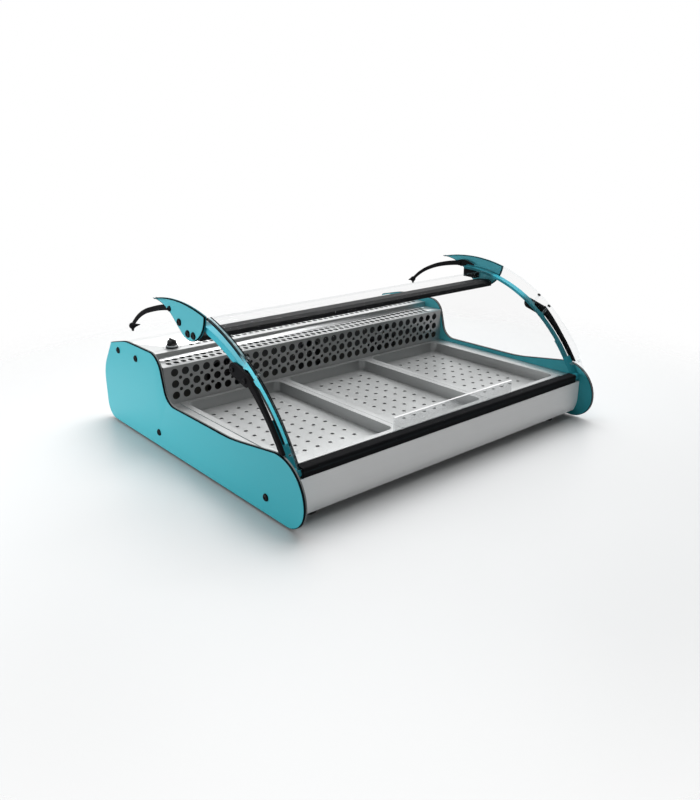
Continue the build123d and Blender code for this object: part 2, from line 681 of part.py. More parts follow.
def trays():
    """Three trays side by side."""
    for side, name in ((-1, "left"), (0, "centre"), (1, "right")):
        save(f"display_tray_{name}", tray(side * TRAY_PITCH))


def ticket_rail():
    """Clear strip with a foot, standing on the rim behind the front rail."""
    front = RAIL_REAR + TICKET_GAP
    span = (TICKET_SHIFT - TICKET_LENGTH / 2, TICKET_SHIFT + TICKET_LENGTH / 2)
    middle = front + TICKET_STRIP / 2
    rail = block(span, (front, front + TICKET_STRIP), (RIM_Z, RIM_Z + TICKET_FOOT))
    rail += block(
        span,
        (middle - TICKET_THICKNESS / 2, middle + TICKET_THICKNESS / 2),
        (RIM_Z, RIM_Z + TICKET_HEIGHT),
    )
    save("ticket_rail", rail)


def drain():
    """Flanged spout through the well's floor, and the strainer on it."""
    top = WELL_FLOOR + DRAIN_FLANGE_THICKNESS
    fitting = rod_z(DRAIN_FLANGE, DRAIN_X, DRAIN_Y, (WELL_FLOOR, top))
    low = PAN_UNDERSIDE - DRAIN_BELOW_PAN
    fitting += rod_z(DRAIN_RADIUS, DRAIN_X, DRAIN_Y, (PAN_UNDERSIDE, WELL_FLOOR))
    fitting += rod_z(DRAIN_TAIL_RADIUS, DRAIN_X, DRAIN_Y, (low, PAN_UNDERSIDE))
    fitting -= rod_z(DRAIN_BORE, DRAIN_X, DRAIN_Y, (low, top))
    save("drain_fitting", fitting)
    disc = Circle(DRAIN_FLANGE - 2 * STRAINER_HOLE_RADIUS)
    ring = DRAIN_BORE - 2 * STRAINER_HOLE_RADIUS
    disc -= PolarLocations(ring, STRAINER_HOLES) * Circle(STRAINER_HOLE_RADIUS)
    disc -= Circle(STRAINER_HOLE_RADIUS)
    save("drain_strainer", extrude(Pos(DRAIN_X, DRAIN_Y, top) * disc, amount=STRAINER_THICKNESS))


def front_panel():
    """Aluminium front with a flange under the rail and a lower edge that curves inwards."""
    bend_z = RAIL_BOTTOM - FRONT_BEND_DROP
    drop = bend_z - PAN_FLOOR
    radius = (drop**2 + FRONT_TUCK**2) / (2 * FRONT_TUCK)
    turn = asin(drop / radius)

    def on_bend(distance, angle):
        return (FRONT_Y + radius - distance * cos(angle), bend_z - distance * sin(angle))

    inside = radius - FRONT_SHEET
    profile = make_face([
        Polyline((RAIL_REAR, RAIL_BOTTOM), (FRONT_Y, RAIL_BOTTOM), on_bend(radius, 0)),
        ThreePointArc(on_bend(radius, 0), on_bend(radius, turn / 2), on_bend(radius, turn)),
        Line(on_bend(radius, turn), on_bend(inside, turn)),
        ThreePointArc(on_bend(inside, turn), on_bend(inside, turn / 2), on_bend(inside, 0)),
        Polyline(
            on_bend(inside, 0),
            (FRONT_Y + FRONT_SHEET, RAIL_BOTTOM - FRONT_SHEET),
            (RAIL_REAR, RAIL_BOTTOM - FRONT_SHEET),
            (RAIL_REAR, RAIL_BOTTOM),
        ),
    ])
    save("front_panel", plate(profile, -COVER_HALF, 2 * COVER_HALF))


def front_rail():
    """Hollow rail along the front, with a plug and a hinge pin at each end."""
    outline = rounded([
        (RAIL_FRONT, RAIL_BOTTOM, RAIL_ROUND),
        (RAIL_REAR, RAIL_BOTTOM, RAIL_ROUND),
        (RAIL_REAR, RAIL_TOP, RAIL_ROUND),
        (RAIL_FRONT, RAIL_TOP, RAIL_ROUND),
    ])
    hollow = (
        (RAIL_FRONT + RAIL_WALL, RAIL_REAR - RAIL_WALL),
        (RAIL_BOTTOM + RAIL_WALL, RAIL_TOP - RAIL_WALL),
    )
    rail = plate(outline, -RAIL_HALF, 2 * RAIL_HALF)
    save("front_rail", rail - block((-RAIL_HALF, RAIL_HALF), *hollow))
    start = RAIL_HALF - HINGE_PLUG_LENGTH
    plug = block((start, ARM_INNER_X - RUNNING_GAP), *hollow)
    plug -= rod_x(HINGE_PIN_RADIUS + SCREW_GAP, (start, ARM_INNER_X), HINGE_Y, HINGE_Z)
    save("hinge_plugs", *both(plug))
    pin = rod_x(HINGE_PIN_RADIUS, (start, ARM_OUTER_X), HINGE_Y, HINGE_Z)
    save("hinge_pins", *both(pin))


def air_grille():
    """Upright perforated plate between the rim and the lip, with dots between its rows of holes."""
    top = LIP_Z - SHEET - SIDE_GAP
    plane = Plane(origin=(0, GRILLE_Y, (RIM_Z + top) / 2), x_dir=(1, 0, 0), z_dir=(0, -1, 0))
    columns = int(2 * COVER_HALF / GRILLE_PITCH)
    face = Rectangle(2 * COVER_HALF, top - RIM_Z)
    holes = GridLocations(GRILLE_PITCH, GRILLE_ROW_PITCH, columns, GRILLE_ROWS)
    dots = GridLocations(GRILLE_PITCH, GRILLE_ROW_PITCH, columns - 1, GRILLE_ROWS - 1)
    face -= Pos(0, GRILLE_ROW_RISE) * holes * Circle(GRILLE_HOLE_RADIUS)
    face -= Pos(0, GRILLE_ROW_RISE) * dots * Circle(GRILLE_DOT_RADIUS)
    save("air_grille", extrude(plane * face, amount=-SHEET))


def slot_row(first_x, y, z, side):
    """Row of slots from an x to the case's right end, cut down through a sheet whose top is at z."""
    count = int((COVER_HALF - SLOT_PITCH - first_x) / SLOT_PITCH)
    middle = first_x + count * SLOT_PITCH / 2 + side * SLOT_PITCH / 4
    row = Pos(middle, y, z) * GridLocations(SLOT_PITCH, SLOT_PITCH, count, 1)
    slots = Sketch() + row * SlotOverall(SLOT_LENGTH, SLOT_WIDTH)
    return extrude(slots, amount=-SHEET)


def top_vent():
    """Slotted lip over the grille, a riser behind it and a strip along the top's front edge."""
    width = (-COVER_HALF, COVER_HALF)
    vent = block(width, (LIP_FRONT, RISER_Y + SHEET), (LIP_Z - SHEET, LIP_Z))
    vent += block(width, (RISER_Y, RISER_Y + SHEET), (LIP_Z - SHEET, TOP_Z))
    vent += block(width, (RISER_Y, STRIP_REAR), (TOP_Z - SHEET, TOP_Z))
    for side in (-1, 1):
        y = LIP_FRONT + (LIP_DEPTH + side * SLOT_ROW_GAP) / 2
        vent -= slot_row(SLOT_PITCH - COVER_HALF, y, LIP_Z, side)
    save("top_vent", vent)


def top_cover():
    """Flat cover behind the strip, bent down at its rear edge, with the knob's hole and a row of slots."""
    profile = sheet_profile(
        [(STRIP_REAR, TOP_Z), (COVER_BEND_Y, TOP_Z), (COVER_EDGE_Y, COVER_EDGE_Z)], SHEET
    )
    cover = plate(profile, -COVER_HALF, 2 * COVER_HALF)
    cover -= rod_z(KNOB_BUSH + SCREW_GAP, KNOB_X, KNOB_Y, (TOP_Z - SHEET, TOP_Z))
    cover -= slot_row(KNOB_X + COLLAR_RADIUS + SLOT_PITCH, STRIP_REAR + SLOT_WIDTH, TOP_Z, 1)
    save("top_cover", cover)


def pipe_places():
    """Heights of the two pipes that leave the coil's lower rear tubes."""
    step = COIL_HEIGHT / COIL_TUBE_ROWS
    return [COIL_BASE + COIL_LIFT + step * (row + 0.5) for row in range(2)]


def rear_cover():
    """Sloping and upright back, with holes for pipes, cable gland and switches."""
    edge = Vector(COVER_EDGE_Y, COVER_EDGE_Z)
    corner = Vector(COVER_REAR, COVER_WALL_Z)
    start = edge + (corner - edge).normalized() * SHEET
    profile = sheet_profile(
        [(start.X, start.Y), (COVER_REAR, COVER_WALL_Z), (COVER_REAR, PAN_UNDERSIDE)], SHEET
    )
    cover = plate(profile, -COVER_HALF, 2 * COVER_HALF)
    wall = (COVER_REAR - SHEET, COVER_REAR)
    for z in pipe_places():
        cover -= rod_y(COIL_TUBE_RADIUS + SCREW_GAP, PIPE_X, wall, z)
    cover -= rod_y(GLAND_RADIUS + SCREW_GAP, BOX_X, wall, GLAND_Z)
    half = SWITCH_PLATE_HALF - SWITCH_MARGIN + SIDE_GAP
    tall = SWITCH_HALF_HEIGHT + SWITCH_CUT_GAP + SIDE_GAP
    cover -= block((SWITCH_X - half, SWITCH_X + half), wall, (SWITCH_Z - tall, SWITCH_Z + tall))
    save("rear_cover", cover)


def fan_plate():
    """Upright plate with a round opening for each fan."""
    half = PLATE_INNER - INSULATION_SIDE
    depth = (FAN_PLATE_Y, FAN_PLATE_Y + SHEET)
    wall = block((-half, half), depth, (CHAMBER_Z, LIP_Z - SHEET))
    for x in FAN_XS:
        wall -= rod_y(FAN_RADIUS + FAN_TIP_GAP, x, depth, FAN_Z)
    save("fan_plate", wall)


def fan_bracket(x):
    """Ring round a fan motor on three arms, each with a leg to the fan plate."""
    front = MOTOR_FRONT + BRACKET_THICKNESS
    depth = (front, front + BRACKET_THICKNESS)
    leg_place = FAN_RADIUS + FAN_TIP_GAP + 2 * BRACKET_LEG_RADIUS
    ring = rod_y(MOTOR_RADIUS + BRACKET_RING, 0, depth, 0)
    for turn in BRACKET_TURNS:
        arm = block(
            (MOTOR_RADIUS, leg_place), depth, (-BRACKET_LEG_RADIUS, BRACKET_LEG_RADIUS)
        )
        leg = rod_y(BRACKET_LEG_RADIUS, leg_place, (FAN_PLATE_Y + SHEET, depth[1]), 0)
        ring += Rot(0, turn, 0) * (arm + leg)
    ring -= rod_y(MOTOR_RADIUS + SCREW_GAP, 0, depth, 0)
    return Pos(x, 0, FAN_Z) * ring


def fan_motor(x):
    """Motor can with its shaft towards the grille."""
    can = rod_y(MOTOR_RADIUS, x, (MOTOR_FRONT, MOTOR_FRONT + MOTOR_LENGTH), FAN_Z)
    return can + rod_y(FAN_SHAFT_RADIUS, x, (FAN_PLATE_Y - FAN_HUB_LENGTH / 2, MOTOR_FRONT), FAN_Z)


def fan_rotor(x):
    """Hub with pitched blades."""
    depth = (-FAN_HUB_LENGTH / 2, FAN_HUB_LENGTH / 2)
    rotor = rod_y(FAN_HUB_RADIUS, 0, depth, 0)
    root = FAN_HUB_RADIUS - BLADE_ROOT
    blade = Box(FAN_RADIUS - root, FAN_BLADE_THICKNESS, FAN_BLADE_CHORD)
    blade = Pos((root + FAN_RADIUS) / 2, 0, 0) * Rot(FAN_BLADE_PITCH, 0, 0) * blade
    for i in range(FAN_BLADES):
        rotor += Rot(0, i * 360 / FAN_BLADES, 0) * blade
    rotor -= rod_y(FAN_SHAFT_RADIUS + SHAFT_GAP, 0, depth, 0)
    return Pos(x, FAN_PLATE_Y, FAN_Z) * rotor


def fans():
    """Three fans behind the grille."""
    fan_plate()
    save("fan_brackets", *[fan_bracket(x) for x in FAN_XS])
    save("fan_motors", *[fan_motor(x) for x in FAN_XS])
    for x, name in zip(FAN_XS, ("left", "centre", "right")):
        save(f"fan_rotor_{name}", fan_rotor(x))


def coil():
    """Finned coil on two end plates, with its drip tray and the two pipes to the rear."""
    depth = (COIL_FRONT, COIL_FRONT + COIL_DEPTH)
    low = COIL_BASE + COIL_LIFT
    pieces = []
    for i in range(COIL_FIN_COUNT):
        x = COIL_HALF_LENGTH * (2 * i / (COIL_FIN_COUNT - 1) - 1)
        pieces.append(block((x - COIL_FIN / 2, x + COIL_FIN / 2), depth, (low, low + COIL_HEIGHT)))
    for x in (-COIL_HALF_LENGTH - COIL_END_STEP, COIL_HALF_LENGTH + COIL_END_STEP):
        span = (x - COIL_END_PLATE / 2, x + COIL_END_PLATE / 2)
        pieces.append(block(span, depth, (COIL_BASE, low + COIL_HEIGHT)))
    tube_end = COIL_HALF_LENGTH + COIL_TUBE_END
    step = COIL_HEIGHT / COIL_TUBE_ROWS
    for row in range(COIL_TUBE_ROWS):
        for y in (COIL_FRONT + COIL_TUBE_INSET, PIPE_Y):
            pieces.append(rod_x(COIL_TUBE_RADIUS, (-tube_end, tube_end), y, low + step * (row + 0.5)))
    save("evaporator_coil", Part() + pieces)

    outer = (depth[0] - DRIP_MARGIN, depth[1] + DRIP_MARGIN)
    half = tube_end + DRIP_MARGIN
    tray_body = block((-half, half), outer, (CHAMBER_Z, CHAMBER_Z + DRIP_HEIGHT))
    tray_body -= block(
        (-half + SHEET, half - SHEET),
        (outer[0] + SHEET, outer[1] - SHEET),
        (COIL_BASE, CHAMBER_Z + DRIP_HEIGHT),
    )
    save("drip_tray", tray_body)

    pipes = []
    outlet = COVER_REAR + PIPE_STUB
    for z in pipe_places():
        turns = ((tube_end, PIPE_Y, z), (PIPE_X, PIPE_Y, z), (PIPE_X, outlet, z))
        path = FilletPolyline(*turns, radius=PIPE_BEND)
        pipe = sweep(Plane(origin=path @ 0, z_dir=path % 0) * Circle(COIL_TUBE_RADIUS), path)
        pipes.append(pipe + rod_y(PIPE_NUT_RADIUS, PIPE_X, (outlet - PIPE_NUT_LENGTH, outlet), z))
    save("refrigerant_pipes", *pipes)


def services():
    """Junction box on the base pan and the cable gland through the rear cover."""
    rear = PAN_REAR - SHEET
    span = (BOX_X - BOX_LENGTH / 2, BOX_X + BOX_LENGTH / 2)
    save("junction_box", block(span, (rear - BOX_DEPTH, rear), (PAN_FLOOR, PAN_FLOOR + BOX_HEIGHT)))
    head_end = COVER_REAR + GLAND_HEAD_LENGTH
    gland = rod_y(GLAND_RADIUS, BOX_X, (rear, COVER_REAR), GLAND_Z)
    gland += rod_y(GLAND_HEAD_RADIUS, BOX_X, (COVER_REAR, head_end), GLAND_Z)
    gland = fillet(gland.edges().group_by(Axis.Y)[-1], GLAND_ROUND)
    gland -= rod_y(GLAND_BORE, BOX_X, (rear, head_end), GLAND_Z)
    save("cable_gland", gland)


def rocker(x):
    """Rocker with a dished face and two axle stubs, resting with its lower edge pressed in."""
    front = SWITCH_AXIS_DEPTH + SWITCH_PROUD
    tall = SWITCH_HALF_HEIGHT
    outline = make_face(Polyline(
        (-SWITCH_AXIS_DEPTH, -tall / 2),
        (SWITCH_AXIS_DEPTH, -tall),
        (front, -tall),
        (front - SWITCH_DISH, 0),
        (front, tall),
        (SWITCH_AXIS_DEPTH, tall),
        (-SWITCH_AXIS_DEPTH, tall / 2),
        close=True,
    ))
    body = plate(outline, -SWITCH_WIDTH / 2, SWITCH_WIDTH)
    reach = SWITCH_WIDTH / 2 + SWITCH_EAR
    body += rod_x(SWITCH_AXLE, (-reach, reach), 0, 0)
    return Pos(x, SWITCH_Y, SWITCH_Z) * Rot(-SWITCH_TILT, 0, 0) * body


def switches():
    """Plate on the rear cover with two rockers between ears."""
    places = (SWITCH_X - SWITCH_SPACING / 2, SWITCH_X + SWITCH_SPACING / 2)
    cut = SWITCH_HALF_HEIGHT + SWITCH_CUT_GAP
    tall = cut + SWITCH_MARGIN
    depth = (COVER_REAR, COVER_REAR + SWITCH_PLATE)
    half = SWITCH_PLATE_HALF
    frame = block((SWITCH_X - half, SWITCH_X + half), depth, (SWITCH_Z - tall, SWITCH_Z + tall))
    gap = SWITCH_WIDTH / 2 + RUNNING_GAP
    ear_depth = (SWITCH_Y - SWITCH_EAR, COVER_REAR)
    ear_height = (SWITCH_Z - SWITCH_EAR, SWITCH_Z + SWITCH_EAR)
    for x in places:
        frame -= block((x - gap, x + gap), depth, (SWITCH_Z - cut, SWITCH_Z + cut))
        frame += block((x - gap - SWITCH_EAR, x - gap), ear_depth, ear_height)
        frame += block((x + gap, x + gap + SWITCH_EAR), ear_depth, ear_height)
        reach = gap + SWITCH_EAR
        frame -= rod_x(SWITCH_AXLE + SHAFT_GAP, (x - reach, x + reach), SWITCH_Y, SWITCH_Z)
    save("switch_plate", frame)
    save("light_switch", rocker(places[0]))
    save("fan_switch", rocker(places[1]))


def thermostat():
    """Collar with a bush and a shaft on the top cover, and the knob on it."""
    collar_top = TOP_Z + COLLAR_HEIGHT
    shaft_top = collar_top + KNOB_HEIGHT - KNOB_CAP
    collar = rod_z(COLLAR_RADIUS, KNOB_X, KNOB_Y, (TOP_Z, collar_top))
    collar += rod_z(KNOB_BUSH, KNOB_X, KNOB_Y, (TOP_Z - KNOB_BUSH_DEPTH, TOP_Z))
    collar += rod_z(KNOB_SHAFT, KNOB_X, KNOB_Y, (collar_top, shaft_top))
    save("knob_collar", collar)
    base = collar_top + RUNNING_GAP
    knob = rod_z(KNOB_RADIUS, KNOB_X, KNOB_Y, (base, base + KNOB_HEIGHT))
    knob = fillet(knob.edges().group_by(Axis.Z)[-1], KNOB_ROUND)
    knob += block(
        (KNOB_X - KNOB_GRIP / 2, KNOB_X + KNOB_GRIP / 2),
        (KNOB_Y - KNOB_RADIUS + KNOB_ROUND, KNOB_Y + KNOB_RADIUS - KNOB_ROUND),
        (base + KNOB_HEIGHT, base + KNOB_HEIGHT + KNOB_GRIP),
    )
    knob -= rod_z(KNOB_SHAFT + SHAFT_GAP, KNOB_X, KNOB_Y, (base, shaft_top + RUNNING_GAP))
    save("thermostat_knob", knob)


def stud_places():
    """Place along the width, angle and seat radius of each glass stud: two on the arm and one on the shoe."""
    places = [(STUD_X, angle, ARM_OUT) for angle in STUD_ANGLES]
    places.append((SHOE_STUD_X, SHOE_STUD_ANGLE, ARM_OUT + SHOE_PROUD))
    return places


def front_glass():
    """Curved pane with a hole for each stud, and lower corners cut back to pass between the side panels."""
    upper = sector(GLASS_IN, GLASS_RADIUS, GLASS_TOP_ANGLE, GLASS_NOTCH_ANGLE)
    foot = sector(GLASS_IN, GLASS_RADIUS, GLASS_NOTCH_ANGLE, GLASS_FOOT_ANGLE)
    glass = plate(upper, -GLASS_HALF, 2 * GLASS_HALF)
    glass += plate(foot, -GLASS_FOOT_HALF, 2 * GLASS_FOOT_HALF)
    reach = (GLASS_IN - CAP_HEIGHT, GLASS_RADIUS + CAP_HEIGHT)
    for x, angle, _ in stud_places():
        for side in (-x, x):
            glass -= spoke(STUD_RADIUS + STUD_HOLE_GAP, side, angle, reach)
    save("front_glass", glass)


def glass_studs():
    """Sleeved studs that hold the pane off the arms, and the caps on its outer face."""
    studs = []
    caps = []
    for x, angle, seat in stud_places():
        stud = spoke(STUD_RADIUS, x, angle, (seat - STUD_SINK, GLASS_RADIUS + CAP_BORE_DEPTH))
        stud += spoke(STUD_SLEEVE_RADIUS, x, angle, (seat + SCREW_GAP, GLASS_IN - SCREW_GAP))
        studs += both(stud)
        cap = Cylinder(CAP_RADIUS, CAP_HEIGHT, align=(Align.CENTER, Align.CENTER, Align.MIN))
        cap = fillet(cap.edges().group_by(Axis.Z)[-1], CAP_ROUND)
        bore = CAP_BORE_DEPTH + SCREW_GAP
        cap -= Cylinder(STUD_RADIUS + SCREW_GAP, bore, align=(Align.CENTER, Align.CENTER, Align.MIN))
        y, z = on_arc(GLASS_RADIUS + SCREW_GAP, angle)
        caps += both(Pos(x, y, z) * Rot(angle, 0, 0) * cap)
    save("glass_studs", *studs)
    save("glass_caps", *caps)


def arms():
    """Curved bands that carry the canopy, and the shoes that hinge them on the rail."""
    arm = plate(sector(ARM_IN, ARM_OUT, ARM_TOP_ANGLE, SHOE_ANGLE), ARM_INNER_X, ARM_WIDTH)
    for angle in STUD_ANGLES:
        arm -= spoke(STUD_RADIUS + SCREW_GAP, STUD_X, angle, (ARM_IN - SHEET, ARM_OUT + SHEET))
    bolt_end = LEG_OUTER_X - LEG_THICKNESS - LEG_BOLT_REACH
    arm -= rod_x(SMALL_BOLT_RADIUS + SCREW_GAP, (bolt_end, LEG_INNER_X), *LEG_BOLTS[1])
    left, right = both(arm)
    save("left_arm", left)
    save("right_arm", right)

    shoe_face = sector(ARM_IN - SHOE_UNDER, ARM_OUT + SHOE_PROUD, SHOE_ANGLE, HINGE_ANGLE)
    shoe_face += Pos(HINGE_Y, HINGE_Z) * Circle(SHOE_BOSS_RADIUS)
    tongue = sector(
        ARM_IN - SCREW_GAP - SHOE_TONGUE,
        ARM_IN - SCREW_GAP,
        SHOE_ANGLE - SHOE_TONGUE_ANGLE,
        SHOE_STUD_ANGLE,
    )
    shoe = plate(shoe_face, ARM_INNER_X, ARM_WIDTH)
    shoe += plate(tongue, ARM_OUTER_X - SHOE_TONGUE_WIDTH, SHOE_TONGUE_WIDTH)
    shoe -= rod_x(HINGE_PIN_RADIUS + SHAFT_GAP, (ARM_INNER_X, ARM_OUTER_X), HINGE_Y, HINGE_Z)
    seat = ARM_OUT + SHOE_PROUD
    shoe -= spoke(
        STUD_RADIUS + SCREW_GAP, SHOE_STUD_X, SHOE_STUD_ANGLE, (seat - STUD_SINK - SCREW_GAP, seat + SHEET)
    )
    left, right = both(shoe)
    save("left_arm_foot", left)
    save("right_arm_foot", right)


def legs():
    """Curved plates outside the arms, each with a two-bolt lobe and an end cut clear of the panel."""
    (y0, z0), (y1, z1) = LEG_BOLTS
    span = hypot(y1 - y0, z1 - z0)
    lobe = SlotCenterToCenter(span, 2 * LEG_LOBE_RADIUS)
    slope = degrees(atan2(z1 - z0, y1 - y0))
    face = sector(LEG_IN, LEG_IN + LEG_WIDTH, LEG_SECOND_ANGLE, HINGE_ANGLE)
    face += Pos((y0 + y1) / 2, (z0 + z1) / 2) * Rot(0, 0, slope) * lobe
    face -= Pos(HINGE_Y, HINGE_Z) * Circle(LEG_END_RADIUS)
    for y, z in LEG_BOLTS:
        face -= Pos(y, z) * Circle(SMALL_BOLT_RADIUS + SCREW_GAP)
    left, right = both(plate(face, LEG_INNER_X, LEG_THICKNESS))
    save("left_leg", left)
    save("right_leg", right)
    bolts = []
    for y, z in LEG_BOLTS:
        bolts += both(Pos(LEG_OUTER_X, y, z) * dome_bolt(SMALL_BOLT_RADIUS, LEG_THICKNESS + LEG_BOLT_REACH))
    save("leg_bolts", *bolts)


def arm_blocks():
    """Blocks under each arm: one that takes the leg's bolt and one that takes the fin's bolt."""
    clamp_face = sector(ARM_IN - CLAMP_DEPTH, ARM_IN - SCREW_GAP, *CLAMP_ANGLES)
    clamp = plate(clamp_face, LEG_INNER_X - CLAMP_LENGTH, CLAMP_LENGTH)
    clamp -= rod_x(SMALL_BOLT_RADIUS + SCREW_GAP, (LEG_INNER_X - LEG_BOLT_REACH, LEG_INNER_X), *LEG_BOLTS[0])
    fin_face = sector(ARM_IN - FIN_BLOCK_DEPTH, ARM_IN - SCREW_GAP, *FIN_BLOCK_ANGLES)
    carrier = plate(fin_face, FIN_INNER_X - FIN_BLOCK_LENGTH, FIN_BLOCK_LENGTH)
    bolt_span = (FIN_INNER_X - FIN_BOLT_REACH, FIN_INNER_X)
    carrier -= rod_x(FIN_BOLT_RADIUS + SCREW_GAP, bolt_span, *FIN_BLOCK_BOLT)
    save("clamp_blocks", *both(clamp))
    save("fin_blocks", *both(carrier))


def fins():
    """Shaped boards at the canopy's top corners, and their bolts."""
    def step(offset):
        return (LIGHT_BAR_Y + offset[0], LIGHT_BAR_Z + offset[1])

    front = on_arc(GLASS_RADIUS, FIN_FRONT_ANGLE)
    tip = on_arc(GLASS_RADIUS, FIN_TIP_ANGLE)
    crown = on_arc(GLASS_RADIUS, (FIN_FRONT_ANGLE + FIN_TIP_ANGLE) / 2)
    face = make_face([
        ThreePointArc(front, crown, tip),
        ThreePointArc(tip, step(FIN_HOLLOW), step(FIN_HEEL)),
        Line(step(FIN_HEEL), step(FIN_LOBE_REAR)),
        ThreePointArc(step(FIN_LOBE_REAR), step(FIN_LOBE_BOTTOM), step(FIN_LOBE_FRONT)),
        ThreePointArc(step(FIN_LOBE_FRONT), step(FIN_BROW), front),
    ])
    bolt_places = LIGHT_BAR_BOLTS + [FIN_BLOCK_BOLT]
    for y, z in bolt_places:
        face -= Pos(y, z) * Circle(FIN_BOLT_RADIUS + SCREW_GAP)
    face -= Pos(*HOOK_PIVOT) * Circle(HOOK_PIN_RADIUS + SCREW_GAP)
    left, right = both(plate(face, FIN_INNER_X, FIN_THICKNESS))
    save("left_fin", left)
    save("right_fin", right)
    bolts = []
    for y, z in bolt_places:
        bolts += both(Pos(HALF_WIDTH, y, z) * dome_bolt(FIN_BOLT_RADIUS, FIN_THICKNESS + FIN_BOLT_REACH))
    save("fin_bolts", *bolts)


def light_bar():
    """Bar between the fins, with the lamp strip and its diffuser in a groove underneath."""
    front = LIGHT_BAR_Y - LIGHT_BAR_DEPTH / 2
    rear = LIGHT_BAR_Y + LIGHT_BAR_DEPTH / 2
    low = LIGHT_BAR_Z - LIGHT_BAR_HEIGHT / 2
    high = LIGHT_BAR_Z + LIGHT_BAR_HEIGHT / 2
    outline = rounded([
        (front, low, LIGHT_BAR_ROUND),
        (front, low + LIGHT_BAR_NOSE, LIGHT_BAR_ROUND),
        (front + LIGHT_BAR_BROW, high, LIGHT_BAR_ROUND),
        (rear, high - LIGHT_BAR_FALL, LIGHT_BAR_ROUND),
        (rear, low, LIGHT_BAR_ROUND),
    ])
    half = FIN_INNER_X
    groove = (LIGHT_BAR_Y - LAMP_GROOVE_WIDTH / 2, LIGHT_BAR_Y + LAMP_GROOVE_WIDTH / 2)
    lamp_half = half - LAMP_END_GAP
    roof = low + LAMP_GROOVE_DEPTH
    bar = plate(outline, -half, 2 * half)
    bar -= block((-lamp_half - LAMP_SIDE_GAP, lamp_half + LAMP_SIDE_GAP), groove, (low, roof))
    for y, z in LIGHT_BAR_BOLTS:
        for hole in both(rod_x(FIN_BOLT_RADIUS + SCREW_GAP, (half - FIN_BOLT_REACH, half), y, z)):
            bar -= hole
    save("light_bar", bar)
    span = (-lamp_half, lamp_half)
    inside = (groove[0] + LAMP_SIDE_GAP, groove[1] - LAMP_SIDE_GAP)
    save("lamp_strip", block(span, inside, (roof - LAMP_STRIP, roof)))
    save("lamp_diffuser", block(span, inside, (low - LAMP_PROUD, roof - LAMP_STRIP)))


def hook_face():
    """Tapered curved bar with an eye at its pivot."""
    middle_angle = (HOOK_PIVOT_ANGLE + HOOK_END_ANGLE) / 2
    line = [
        (GLASS_RADIUS - HOOK_PIVOT_INSET, HOOK_ROOT_WIDTH / 2, HOOK_PIVOT_ANGLE),
        (GLASS_RADIUS - HOOK_MIDDLE_INSET, (HOOK_ROOT_WIDTH + HOOK_END_WIDTH) / 4, middle_angle),
        (GLASS_RADIUS - HOOK_END_INSET, HOOK_END_WIDTH / 2, HOOK_END_ANGLE),
    ]
    upper = [on_arc(radius + half, angle) for radius, half, angle in line]
    lower = [on_arc(radius - half, angle) for radius, half, angle in line]
    face = make_face([
        ThreePointArc(*upper),
        Line(upper[2], lower[2]),
        ThreePointArc(lower[2], lower[1], lower[0]),
        Line(lower[0], upper[0]),
    ])
    face += Pos(*HOOK_PIVOT) * Circle(HOOK_EYE_RADIUS)
    return face - Pos(*HOOK_PIVOT) * Circle(HOOK_PIN_RADIUS + SHAFT_GAP)


def hook_arms():
    """Curved arms that swing inside the fins, step out behind them and end in a ball with a stub."""
    hook = plate(hook_face(), HOOK_INNER_X, HOOK_THICKNESS + HOOK_STEP_OUT)
    step_end, step_start = HOOK_STEP_ANGLES
    spread = HOOK_PIVOT_ANGLE - step_end
    root_cut = sector(ARM_IN - FIN_BLOCK_DEPTH, GLASS_RADIUS, step_start, step_start + spread + spread)
    far_cut = sector(ARM_IN - FIN_BLOCK_DEPTH, GLASS_RADIUS, HOOK_END_ANGLE - spread, step_end)
    hook -= plate(root_cut, HOOK_OUTER_X, HOOK_STEP_OUT)
    hook -= plate(far_cut, HOOK_INNER_X, HOOK_STEP_OUT)
    x = HOOK_INNER_X + HOOK_STEP_OUT + HOOK_THICKNESS / 2
    y, z = on_arc(GLASS_RADIUS - HOOK_END_INSET, HOOK_END_ANGLE)
    hook += Pos(x, y, z) * Sphere(HOOK_BALL_RADIUS)
    hook += rod_x(HOOK_STUB_RADIUS, (x - HOOK_STUB_LENGTH, x), y, z)
    hook += rod_z(HOOK_NUB_RADIUS, x, y, (z - HOOK_NUB_LENGTH, z))
    left, right = both(hook)
    save("left_hook_arm", left)
    save("right_hook_arm", right)


def hook_pivots():
    """Pivot bolt of each hook arm, with a tapered plate between the arm and the nut."""
    rear, front = HOOK_PLATE_TIPS
    outline = make_face([
        ThreePointArc(rear, HOOK_PLATE_CROWN, front),
        Polyline(front, HOOK_PLATE_NOTCH, *HOOK_PLATE_FOOT, rear),
    ])
    plate_outer_x = HOOK_INNER_X - RUNNING_GAP
    reach = HALF_WIDTH - plate_outer_x + HOOK_PLATE + HOOK_NUT_THICKNESS
    pivot = Pos(HALF_WIDTH, *HOOK_PIVOT) * dome_bolt(HOOK_PIN_RADIUS, reach, HOOK_NUT_THICKNESS)
    pivot += plate(Pos(*HOOK_PIVOT) * outline, plate_outer_x - HOOK_PLATE, HOOK_PLATE)
    save("hook_pivots", *both(pivot))


side_panels()
panel_bolts()
end_plates()
base_pan()
rubber_feet()
insulation()
well_liner()
tray_bars()
trays()
ticket_rail()
drain()
front_panel()
front_rail()
air_grille()
top_vent()
top_cover()
rear_cover()
fans()
coil()
services()
switches()
thermostat()
front_glass()
glass_studs()
arms()
legs()
arm_blocks()
fins()
light_bar()
hook_arms()
hook_pivots()
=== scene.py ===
"""Counter-top fish display case: its finishes, its small fittings, the studio and the camera."""
import json
import math

import bmesh
import bpy
from mathutils import Matrix, Vector


